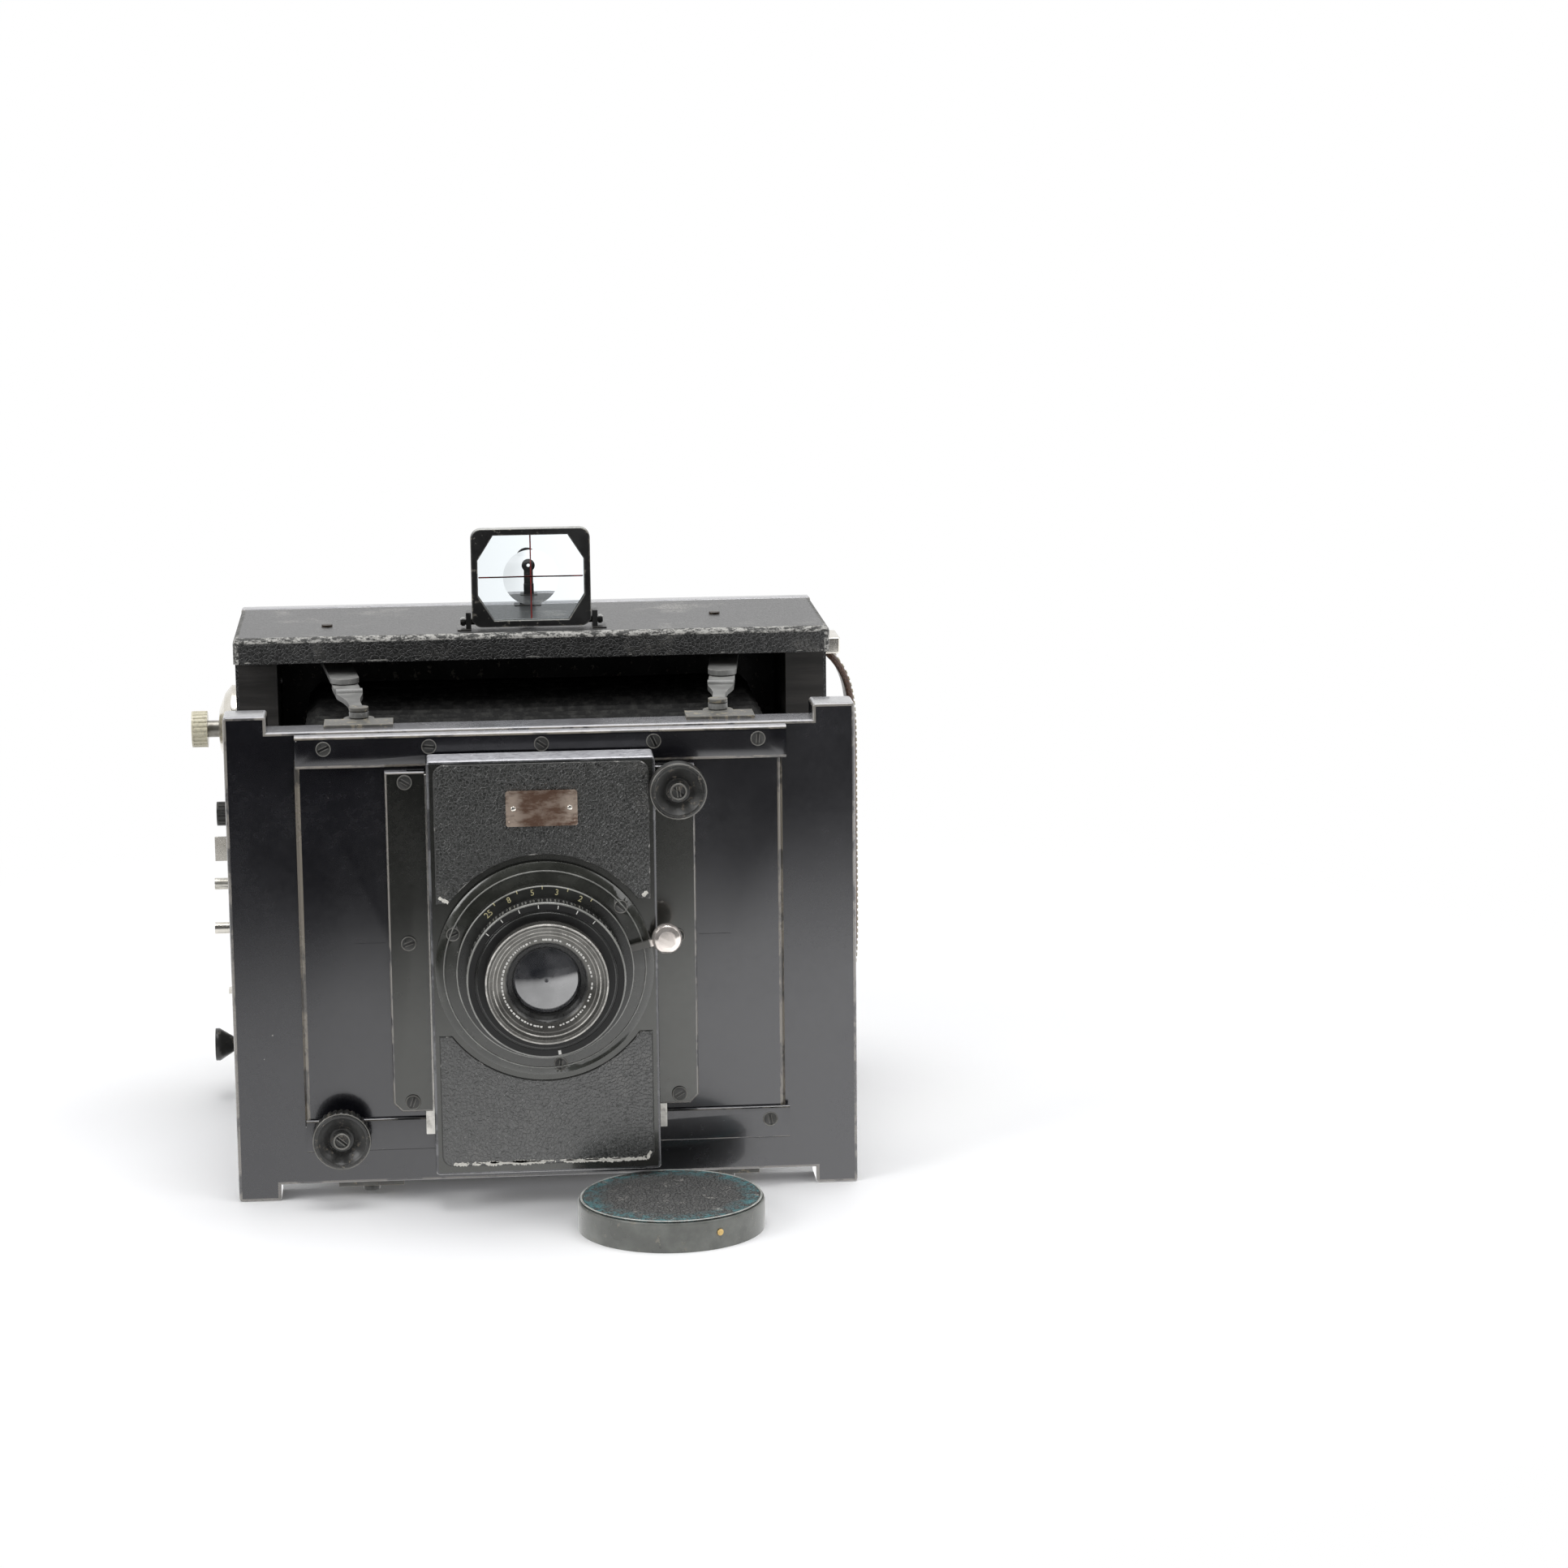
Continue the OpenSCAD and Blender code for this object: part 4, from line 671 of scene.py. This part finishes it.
def corner_edges(name):
    """Edges along the corners of a node's own box, which lie on two of its faces."""
    low, high, _ = box(name)

    def pick(middle, length):
        faces = sum(abs(v - a) < NEAR or abs(v - b) < NEAR for v, a, b in zip(middle, low, high))
        return faces >= 2 and length > 3 * MM
    return pick


_, board_high, board_middle = box("lens_board")
board_half = board_high - board_middle


def on_outline(point):
    """Near the outer edge of the lens board."""
    away = point - board_middle
    return abs(away.x) > board_half.x - 2 * MM or abs(away.z) > board_half.z - 2 * MM


def beside_board(point):
    """Away from the gap between the guide strips and the lens board."""
    return abs(point.x - board_middle.x) > board_half.x + 2 * MM


FINISH = {}


def finish(names, main, width=0.0, edge=None, pick=None, segments=2):
    """Notes the look of CAD nodes, and the rounding of their edges in mm with its look.

    Where edges are picked, a finished copy stands for the node.
    """
    for name in names.split():
        FINISH[name] = (main, width, edge or main, pick, segments)


# All nodes but the bellows and the strap
finish("casing", "body_wood", 0.3)
finish("leather_covering", "body_leather", 1.6, "leather_edge",
       corner_edges("leather_covering"), 4)
finish("base_plate side_plate bellows_front_frame", "black_lacquer", 0.2, "lacquer_edge")
finish("tripod_bush", "lacquered_brass", 0.2)
finish("bulkhead", "black_lacquer", 0.1)
finish("upper_roller lower_roller", "roller_alloy")
finish("shutter_curtain", "curtain_cloth")
finish("winding_gear", "winding_shaft")
finish("winding_knob", "ivory")
finish("winding_dial pawl_lever time_lever", "nickel", 0.15)
finish("tension_knob", "knob_black")
finish("body_screws", "body_screws")
finish("release_button", "nickel", 0.3)
finish("release_cone", "knob_black", 0.3, "knob_edge")
finish("finder_base rear_sight", "black_lacquer", 0.12, "lacquer_edge")
finish("finder_frame", "finder_black", 0.3, "finder_edge", long_edges(0.3))
finish("finder_lens", "finder_glass")
finish("strap_lugs", "nickel", 0.5)
finish("back_frame", "black_enamel", 0.8, "enamel_edge", corner_edges("back_frame"), 3)
finish("ground_glass", "matt_glass")
finish("hood_door", "body_leather", 0.5, "leather_edge", long_edges(6))
finish("strut_posts", "screw_steel", 0.15)
finish("rear_arms_left rear_arms_right front_links_left front_links_right",
       "strut_paint", 0.25, "strut_edge")
finish("standard_plate", "black_enamel", 0.9, "enamel_edge", long_edges(3), 3)
finish("top_rail", "black_enamel", 0.9, "brassed_edge", level_edges("top_rail"), 1)
finish("bottom_rail", "black_enamel", 0.5, "dark_edge", level_edges("bottom_rail"), 1)
finish("rail_screws guide_screws flange_screws", "screw_steel", 0.22, "screw_edge")
finish("strut_brackets", "bracket_black", 0.25, "worn_brass")
finish("cross_plate", "black_enamel", 1.4, "brassed_edge", corner_edges("cross_plate"), 1)
finish("guide_strips", "guide_enamel", 0.55, "enamel_edge",
       front_edges("guide_strips", beside_board), 1)
finish("cross_clamp", "knob_black", 0.2, "knob_edge")
finish("rise_clamp", "knob_black", 0.15, "knob_edge")
finish("board_tongue", "tongue_nickel", 0.2)
finish("lens_board", "board_enamel", 0.75, "board_edge", front_edges("lens_board", on_outline))
finish("board_leather", "board_leather", 0.3, "inlay_edge", front_edges("board_leather"))
finish("name_plate", "plate_bronze", 0.15)
finish("lens_flange", "flange_black", 0.6, "lens_ring_edge")
finish("focus_ring", "lens_black", 0.35, "lens_ring_edge")
finish("focus_lever", "lever_metal", 0.2)
finish("lens_barrel", "lens_deep_black", 0.15, "lens_black")
finish("aperture_ring", "lens_deep_black", 0.5, "lens_ring_edge", outside_radius(20.5), 3)
finish("lens_rim", "lens_bezel", 0.3, "lens_bezel_edge")
finish("lens_glass", "lens_glass")
finish("lens_cap", "cap_paint", 0.35, "cap_edge")
finish("cap_rivet", "lacquered_brass")
finish("cap_leather", "cap_leather", 0.3)
finish("cap_lining", "cap_felt", 0.2)

for node_name in SLOTS:
    if node_name in FINISH:
        *surface, picked, rounds = FINISH[node_name]
        if picked:
            finish_edges(node_name, *surface, picked, rounds)
        else:
            dress(node_name, *surface)


# Bellows: one pleated sleeve with soft folds
BELLOWS_PLEATS = 14
BELLOWS_STEPS = 6
BELLOWS_DEEP = 5.5 * MM
BELLOWS_WALL = 0.6 * MM
BELLOWS_GAP = 0.2 * MM
BELLOWS_CUT = 3 * MM
BELLOWS_SAG = 0.3 * MM
BELLOWS_WAVE = 0.35 * MM
SIDE_POINTS = [3, 10, 3, 12, 3, 10, 3, 12]


def bellows_ring(y, half_x, half_z, mid_z, cut):
    """One ring of points round the sleeve, with cut corners and a slight sag of the top."""
    corner = [
        (half_x - cut, -half_z), (half_x, -half_z + cut),
        (half_x, half_z - cut), (half_x - cut, half_z),
    ]
    corner += [(-x, z) for x, z in reversed(corner)]
    points = []
    for k, (x0, z0) in enumerate(corner):
        x1, z1 = corner[(k + 1) % 8]
        for i in range(SIDE_POINTS[k]):
            t = i / SIDE_POINTS[k]
            x = x0 + (x1 - x0) * t
            z = z0 + (z1 - z0) * t
            bow = 1 - (x / half_x) ** 2 if abs(z) > half_z - cut else 1 - (z / half_z) ** 2
            wave = noise.noise(Vector((x * 60, y * 90, z * 60))) * BELLOWS_WAVE
            if abs(z) > half_z - cut:
                z += math.copysign(wave, z) - BELLOWS_SAG * bow
            else:
                x += math.copysign(wave - BELLOWS_SAG * bow * 0.6, x)
            points.append((x, y, mid_z + z))
    return points


def make_bellows():
    """An outer and an inner sleeve, joined at both ends."""
    low, high, middle = box("bellows")
    length = high.y - low.y
    half = high - middle
    count = BELLOWS_PLEATS * BELLOWS_STEPS
    verts = []
    for wall in (0.0, BELLOWS_WALL):
        for i in range(count + 1):
            phase = (i / BELLOWS_STEPS) % 1.0
            fold = 1 - abs(2 * phase - 1)
            fold = fold * fold * (3 - 2 * fold)
            inset = BELLOWS_DEEP * fold + wall + BELLOWS_GAP
            y = min(max(low.y + length * i / count, low.y + NEAR), high.y - NEAR)
            verts += bellows_ring(y, half.x - inset, half.z - inset, middle.z, BELLOWS_CUT + inset)
    per = sum(SIDE_POINTS)
    inner = per * (count + 1)
    faces = []
    for i in range(count):
        for k in range(per):
            a, b = i * per + k, i * per + (k + 1) % per
            faces.append((a, b, b + per, a + per))
            faces.append((inner + b, inner + a, inner + a + per, inner + b + per))
    for ring, order in ((0, 1), (count, -1)):
        for k in range(per):
            a, b = ring * per + k, ring * per + (k + 1) % per
            faces.append((b, a, inner + a, inner + b)[::order])
    piece = add_mesh("bellows_sleeve", verts, faces, "bellows_cloth", "camera_body")
    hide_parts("bellows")
    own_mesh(piece)


make_bellows()


STRAP_THICK = 2.0 * MM
STRAP_STEPS = 60
STITCH_SIDES = 6


def make_strap():
    """Leather strap: two plies with rounded edges and a row of stitches along each side."""
    low, high, middle = box("handle_strap")
    half_z = high.z - middle.z
    rise = high.x - low.x - 2.2 * MM
    half_w = high.y - middle.y - 0.2 * MM
    steps = STRAP_STEPS

    def centre(t):
        z = low.z + (high.z - low.z) * t
        share = abs(z - middle.z) / half_z
        return Vector((low.x + 1.1 * MM + rise * (1 - share ** 8), 0, z))

    verts, faces = [], []
    section = [(-1, 0.55), (-0.93, 0.9), (-0.8, 1), (-0.5, 1.06)]
    section += [(-x, y) for x, y in reversed(section)]
    section += [(x, -y) for x, y in reversed(section)]
    for i in range(steps + 1):
        t = i / steps
        here = centre(t)
        ahead = centre(min(t + 0.01, 1)) - centre(max(t - 0.01, 0))
        normal = Vector((ahead.z, 0, -ahead.x)).normalized()
        for across, up in section:
            verts.append(here + normal * (up * STRAP_THICK / 2) + Vector((0, across * half_w, 0)))
    per = len(section)
    for i in range(steps):
        for k in range(per):
            a, b = i * per + k, i * per + (k + 1) % per
            faces.append((a, a + per, b + per, b))
    faces.append(tuple(range(per)))
    faces.append(tuple(reversed(range(steps * per, steps * per + per))))
    piece = add_mesh("strap", verts, faces, "strap_leather", "camera_body")
    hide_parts("handle_strap")
    stitches, quads = [], []
    for side in (-1, 1):
        for i in range(1, steps - 1):
            here, there = centre((i + 0.2) / steps), centre((i + 0.8) / steps)
            along = (there - here).normalized()
            normal = Vector((along.z, 0, -along.x))
            ring = len(stitches)
            for point in (here, there):
                for turn in range(STITCH_SIDES):
                    angle = math.tau * turn / STITCH_SIDES
                    offset = normal * (STRAP_THICK / 2 + 0.12 * MM + 0.17 * MM * math.cos(angle))
                    offset += Vector((0, side * half_w * 0.82 + 0.2 * MM * math.sin(angle), 0))
                    stitches.append(point + offset)
            end = ring + STITCH_SIDES
            for turn in range(STITCH_SIDES):
                ahead = (turn + 1) % STITCH_SIDES
                quads.append((ring + turn, ring + ahead, end + ahead, end + turn))
            quads.append(tuple(reversed(range(ring, end))))
            quads.append(tuple(range(end, end + STITCH_SIDES)))
    add_mesh("strap_stitches", stitches, quads, "ivory", "camera_body")


make_strap()


# Marks lie in the xy plane, face +z and are turned to face -y where they go
STILL = Matrix.Identity(4)
FACE_FRONT = Matrix.Rotation(math.radians(90), 4, "X")
MARK_DEPTH = 0.08 * MM
STROKE = 0.25 * MM
BAR_TAPER = 0.8


def text_mesh(text, size):
    """Raised figures, centred."""
    holder = add_object("figures", put(
        bpy.data.curves.new("figures", "FONT"), body=text, size=size, extrude=MARK_DEPTH / 2,
        align_x="CENTER", align_y="CENTER", resolution_u=3,
    ))
    bpy.context.view_layer.update()
    final = holder.evaluated_get(bpy.context.evaluated_depsgraph_get())
    mesh = bpy.data.meshes.new_from_object(final)
    bpy.data.objects.remove(holder)
    return mesh


def bar_mesh(width, height, depth=MARK_DEPTH):
    """A small bar with slightly drawn-in ends."""
    bm = bmesh.new()
    bmesh.ops.create_cube(bm, size=1)
    for vert in bm.verts:
        taper = BAR_TAPER if vert.co.z > 0 else 1.0
        vert.co *= Vector((width * taper, height * taper, depth))
    return to_mesh(bm, "bar")


def ring_mesh(x, z, radius, width, height, y, steps=96):
    """A low ring on a face that looks along -y."""
    bm = bmesh.new()
    rows = []
    section = [(-0.5, 0.3), (-0.25, -1), (0.25, -1), (0.5, 0.3)]
    for i in range(steps):
        turn = math.tau * i / steps
        row = []
        for out, up in section:
            r = radius + out * width
            point = (x + r * math.sin(turn), y + up * height, z + r * math.cos(turn))
            row.append(bm.verts.new(point))
        rows.append(row)
    for i, row in enumerate(rows):
        ahead = rows[(i + 1) % steps]
        for k in range(4):
            bm.faces.new((row[k], row[(k + 1) % 4], ahead[(k + 1) % 4], ahead[k]))
    bmesh.ops.recalc_face_normals(bm, faces=bm.faces)
    return to_mesh(bm, "ring")


def on_front(x, y, z):
    """Matrix that puts a mark on a face that looks along -y."""
    return Matrix.Translation((x, y, z)) @ FACE_FRONT


def on_dial(radius_mm, degrees, y, tilt=0.0):
    """The same at an angle round the lens axis, from the top and clockwise."""
    turned = Matrix.Translation(AXIS) @ Matrix.Rotation(math.radians(degrees), 4, "Y")
    out = Matrix.Translation((0, y, radius_mm * MM)) @ Matrix.Rotation(tilt, 4, "X")
    return turned @ out @ FACE_FRONT


# Scales round the lens: the angle of the first figure and the step to the next, in degrees,
# and the radii of the figures and the strokes
DISTANCES = ("25", "8", "5", "3", "2")
DISTANCE_FIRST, DISTANCE_STEP, TICK_AFTER = -42, 17, 7
DISTANCE_MM, TICK_MM = 22.3, 23.4
STOPS = ("4.5", "6", "9", "12", "18", "25", "36")
STOP_FIRST, STOP_STEP, STOP_INDEX = -50, 15, 171
STOP_MM, STOP_RING_MM = 17.75, 20.2
ENGRAVING_MM = 12.15
ENGRAVING_TILT = -0.36


def make_scales():
    """Figures of the focusing ring and the barrel, strokes of the aperture ring and the rim."""
    ring_y = box("focus_ring")[0].y
    parts = []
    for i, figure in enumerate(DISTANCES):
        angle = DISTANCE_FIRST + DISTANCE_STEP * i
        parts.append((text_mesh(figure, 2.3 * MM), on_dial(DISTANCE_MM, angle, ring_y)))
        parts.append((bar_mesh(STROKE, 0.9 * MM), on_dial(TICK_MM, angle + TICK_AFTER, ring_y)))
    join_meshes("distance_figures", parts, "yellow_fill", "focus")
    figure_y = box("lens_barrel")[0].y + 0.4 * MM
    stop_y = box("aperture_ring")[0].y
    figures = []
    marks = [(bar_mesh(0.9 * MM, 1.3 * MM, 0.1 * MM), on_dial(STOP_RING_MM, STOP_INDEX, stop_y))]
    for i, figure in enumerate(STOPS):
        angle = STOP_FIRST + STOP_STEP * i
        figures.append((text_mesh(figure, 1.75 * MM), on_dial(STOP_MM, angle, figure_y)))
        marks.append((bar_mesh(STROKE, 1.1 * MM), on_dial(STOP_RING_MM, angle, stop_y)))
    join_meshes("aperture_figures", figures, "white_fill", "lens")
    join_meshes("aperture_marks", marks, "white_fill", "aperture")
    parts = []
    chance = random.Random(5)
    angle = 0.0
    while angle < 357:
        wide = chance.uniform(0.35, 0.95)
        if chance.random() > 0.12:
            bar = bar_mesh(wide * MM, chance.uniform(0.6, 0.85) * MM, 0.07 * MM)
            parts.append((bar, on_dial(ENGRAVING_MM, angle, rim_low.y + 1.5 * MM, ENGRAVING_TILT)))
        angle += math.degrees((wide + 0.3) / ENGRAVING_MM)
    join_meshes("rim_engraving", parts, "white_fill", "lens")


def make_lens_rings():
    """Turned steps of the flange and of the front rim, and the rim of the lens cap's leather, in
    pale materials that paint their highlights.
    """
    ring = ring_mesh(AXIS.x, AXIS.z, 27.3 * MM, 0.5 * MM, 0.2 * MM, box("lens_flange")[0].y)
    parts = [(ring, STILL)]
    join_meshes("flange_step", parts, "lens_ring_edge", "rising_board", True)
    parts = [
        (ring_mesh(AXIS.x, AXIS.z, radius * MM, 0.45 * MM, 0.18 * MM, rim_low.y + deep * MM), STILL)
        for radius, deep in ((14.4, 0.45), (16.2, 0.1))
    ]
    join_meshes("rim_step", parts, "lens_bezel_edge", "lens", True)
    # A pale ring round the cap's leather: a painted highlight of its metal rim.
    cap_rim = ring_mesh(0, 0, cap_half + 0.5 * MM, 0.7 * MM, 0.12 * MM, 0)
    place = Matrix.Translation(cap_middle - Vector((0, 0, 0.1 * MM))) @ FACE_FRONT.inverted()
    join_meshes("cap_rim_highlight", [(cap_rim, place)], "cap_rim_highlight", "cap", True)


def islands(name):
    """The separate solids of a node: points, and faces as (normal, middle, area)."""
    bm = bmesh.new()
    bm.from_mesh(nodes[name].data)
    bmesh.ops.remove_doubles(bm, verts=bm.verts, dist=SAME_POINT)
    found, known = [], set()
    for first in bm.faces:
        stack, group = [first], []
        while stack:
            face = stack.pop()
            if face not in known:
                known.add(face)
                group.append(face)
                stack += [other for edge in face.edges for other in edge.link_faces]
        if not group:
            continue
        points = [v.co.copy() for face in group for v in face.verts]
        sides = [(f.normal.copy(), f.calc_center_median(), f.calc_area()) for f in group]
        found.append((points, sides))
    bm.free()
    return found


def make_screw_highlights(name, body, slot=None, centre_ring=None):
    """Painted highlights: a pale ring on the worn rim of each round head, another round a knob's
    centre where asked, and pale lines on the edges of its slot; sizes in metres.
    """
    parts = []
    for points, sides in islands(name):
        low = Vector([min(p[k] for p in points) for k in range(3)])
        high = Vector([max(p[k] for p in points) for k in range(3)])
        middle, half = (low + high) / 2, (high - low) / 2
        if abs(half.x - half.z) > 0.1 * MM:
            continue
        rings = [(half.x - 0.18 * MM, 0.3 * MM, 0.05 * MM)]
        if centre_ring:
            rings.append((centre_ring, 0.5 * MM, 0.12 * MM))
        parts += [(ring_mesh(middle.x, middle.z, *ring, low.y, 32), STILL) for ring in rings]
        walls = [
            (area, normal) for normal, at, area in sides
            if abs(normal.y) < 0.1 and math.hypot(at.x - middle.x, at.z - middle.z) < 0.6 * half.x
        ]
        if not walls:
            continue
        across = max(walls, key=lambda wall: wall[0])[1]
        lean = Matrix.Rotation(math.atan2(across.x, across.z), 4, "Y")
        for side in (-1, 1):
            at = Vector((middle.x, low.y, middle.z)) + across.normalized() * side * 0.42 * MM
            bar = bar_mesh(slot or half.x * 1.25, 0.2 * MM, 0.06 * MM)
            parts.append((bar, Matrix.Translation(at) @ lean @ FACE_FRONT))
    join_meshes(name + "_marks", parts, "screw_edge", body)


make_screw_highlights("rail_screws", "front_standard")
make_screw_highlights("guide_screws", "cross_slide")
make_screw_highlights("flange_screws", "rising_board")
make_screw_highlights("cross_clamp", "cross_knob", 3 * MM, 2.1 * MM)
make_screw_highlights("rise_clamp", "rise_knob", 3 * MM, 2.1 * MM)

WEAR_STEP = 0.3 * MM
WEAR_LIFT = 0.04 * MM


def wear_strip(points, widest, share, chance):
    """Ragged flat patches along a line on a face that looks along -y; (verts, faces)."""
    verts, faces = [], []
    width, goal = 0.0, 0.0
    for start, end in zip(points, points[1:]):
        length = (end - start).length
        along = (end - start) / length
        across = Vector((-along.z, 0, along.x))
        previous = None
        for i in range(int(length / WEAR_STEP) + 1):
            if chance.random() < 0.22:
                goal = widest * chance.uniform(0.35, 1.0) if chance.random() < share else 0.0
            width += (goal - width) * 0.5
            here = start + along * (i * WEAR_STEP)
            if width < 0.15 * widest:
                previous = None
                continue
            pair = len(verts)
            verts.append(here - across * width * chance.uniform(0.25, 0.65))
            verts.append(here + across * width * chance.uniform(0.25, 0.65))
            if previous is not None:
                faces.append((previous, previous + 1, pair + 1, pair))
            previous = pair
    return verts, faces


def make_wear():
    """White rubbed lines along the leather's edges, where the photograph shows them."""
    chance = random.Random(11)
    low, high, _ = box("board_leather")
    left, right, foot = low.x, high.x, low.z
    upper = [v.co for v in nodes["board_leather"].data.vertices if v.co.z > AXIS.z + 8 * MM]
    left_foot = min(p.z for p in upper if p.x < left + 0.5 * MM)
    right_foot = min(p.z for p in upper if p.x > right - 0.5 * MM)
    lines = [
        (1.5, 0.85, [(left, 1.2, foot, 0.6), (right, -2.2, foot, 0.6), (right, -0.9, foot, 2.8)]),
        (0.8, 0.45, [(left, 4, foot, 0.9), (right, -4, foot, 0.9)]),
        (1.5, 1.0, [(left, 0.5, left_foot, 2), (left, 3.6, left_foot, 0.2)]),
        (1.5, 1.0, [(right, -3.6, right_foot, 0.2), (right, -0.5, right_foot, 2)]),
    ]
    verts, faces = [], []
    for widest, share, line in lines:
        points = [Vector((x + dx * MM, low.y - WEAR_LIFT, z + dz * MM)) for x, dx, z, dz in line]
        more, quads = wear_strip(points, widest * MM, share, chance)
        faces += [tuple(k + len(verts) for k in quad) for quad in quads]
        verts += more
    add_mesh("board_leather_wear", verts, faces, "worn_white", "rising_board", False)
    lid = [v.co for v in nodes["leather_covering"].data.vertices]
    z = min(p.z for p in lid if p.y < lid_low.y + 0.1 * MM) + 0.5 * MM
    ends = (lid_low.x + 2 * MM, lid_high.x - 2 * MM)
    line = [Vector((x, lid_low.y - WEAR_LIFT, z)) for x in ends]
    verts, faces = wear_strip(line, 0.55 * MM, 0.25, chance)
    add_mesh("lid_edge_wear", verts, faces, "worn_grey", "camera_body", False)


make_wear()
make_lens_rings()
make_scales()


def make_finder_lines():
    """Red cross lines on the finder glass."""
    low, high, middle = box("finder_lens")
    width, height = high.x - low.x - 1.2 * MM, high.z - low.z - 1.2 * MM
    place = on_front(middle.x, high.y + 0.05 * MM, middle.z)
    thin = 0.42 * MM
    parts = [(bar_mesh(width, thin, 0.1 * MM), place), (bar_mesh(thin, height, 0.1 * MM), place)]
    join_meshes("finder_cross_lines", parts, "red_line", "finder")


make_finder_lines()


def make_plate_details():
    """A raised border and two rivets on the bare name plate."""
    x, y, z = plate_middle.x, plate_low.y, plate_middle.z
    width, height = plate_high.x - plate_low.x - 1.6 * MM, plate_high.z - plate_low.z - 1.6 * MM
    thin, deep = 0.3 * MM, 0.12 * MM
    parts = []
    rivets = bmesh.new()
    for sign in (-1, 1):
        parts.append((bar_mesh(width, thin, deep), on_front(x, y, z + sign * height / 2)))
        parts.append((bar_mesh(thin, height, deep), on_front(x + sign * width / 2, y, z)))
        place = Matrix.Translation((x + sign * 7.6 * MM, y + NEAR, z))
        bmesh.ops.create_uvsphere(
            rivets, u_segments=20, v_segments=10, radius=0.75 * MM,
            matrix=place @ Matrix.Diagonal((1, 0.5, 1, 1)),
        )
    join_meshes("name_plate_border", parts, "plate_bronze", "rising_board")
    rivets = [(to_mesh(rivets, "rivets"), STILL)]
    join_meshes("name_plate_rivets", rivets, "nickel", "rising_board", True)


make_plate_details()


# Table and light: in reflections the table ends a little ahead of the camera model
AMBIENT = 0.42
NEAR_GLOW = 0.05
TABLE_HALF = 6.0
TABLE_EDGE = (-0.57, -0.325)
TABLE_SLANT = 0.5
TABLE_SIDES = (-0.12, 0.14)
WHITE_FROM = (0.17, 0.42)


def make_table():
    """A pale table, plain white far off, whose glow in reflections differs from side to side."""
    corners = [(x * TABLE_HALF, y * TABLE_HALF, 0) for x, y in ((-1, -1), (1, -1), (1, 1), (-1, 1))]
    mesh = new_mesh("table", corners, [(0, 1, 2, 3)])
    table = add_object("table", mesh)
    s = Shader("table_white", roughness=0.6)
    s.color(s.mix(s.ramp(s.noise(90, 3), 0.3, 0.8), (0.92, 0.92, 0.93), (0.95, 0.95, 0.95)))
    path = s.add("LightPath").outputs
    plain = s.bsdf.outputs[0]
    lifted = s.add("AddShader", {0: plain, 1: s.glow(NEAR_GLOW)}).outputs[0]
    far = s.ramp(s.from_point((0, 0, 0)), *WHITE_FROM)
    seen = s.choose(far, lifted, s.glow(1.0))
    sides = s.ramp(s.along("X"), *TABLE_SIDES, 1.1, 1.55)
    slanted = s.plus(s.along("Y"), s.times(s.along("X"), TABLE_SLANT))
    near = s.times(s.ramp(slanted, *TABLE_EDGE), sides)
    floor_glow = s.plus(near, s.ramp(s.along("X"), *TABLE_SIDES, 0.0, 0.1))
    shade = s.choose(path["Is Glossy Ray"], plain, s.glow(floor_glow))
    s.give(s.out.inputs[0], s.choose(path["Is Camera Ray"], shade, seen))
    mesh.materials.append(look["table_white"])


make_table()


def make_light(name, at, target, size, power, size_y=None):
    data = put(bpy.data.lights.new(name, "AREA"), energy=power, size=size)
    if size_y:
        put(data, shape="RECTANGLE", size_y=size_y)
    aim = (Vector(target) - Vector(at)).to_track_quat("-Z", "Y").to_euler()
    put(add_object(name, data), location=at, rotation_euler=aim)


make_light("overhead", (0.1, -0.1, 1.5), (0, 0, 0.08), 1.1, 15, 0.9)
make_light("left_lamp", (-1.3, -0.9, 1.0), (0, -0.05, 0.07), 0.8, 10)
make_light("right_lamp", (1.4, -1.0, 1.2), (0, -0.05, 0.07), 0.8, 4.5)


def make_world():
    """White behind and beside the camera model, and a dim room where the lens looks."""
    world = bpy.data.worlds.new("studio")
    bpy.context.scene.world = world
    w = Nodes(world)
    path = w.add("LightPath").outputs
    direction = w.add("SeparateXYZ", {0: w.add("TexCoord").outputs["Generated"]})
    room = w.glow(w.ramp(direction.outputs["Y"], -0.55, -0.05, 0.04, 1.0), "Background")
    ambient = w.glow(AMBIENT, "Background", (0.97, 0.98, 1))
    shade = w.choose(path["Is Glossy Ray"], ambient, room)
    seen = w.math("MAXIMUM", path["Is Camera Ray"], path["Is Transmission Ray"])
    w.add("OutputWorld", {0: w.choose(seen, shade, w.glow(1.0, "Background"))})


make_world()
bpy.context.scene.view_settings.view_transform = "Standard"
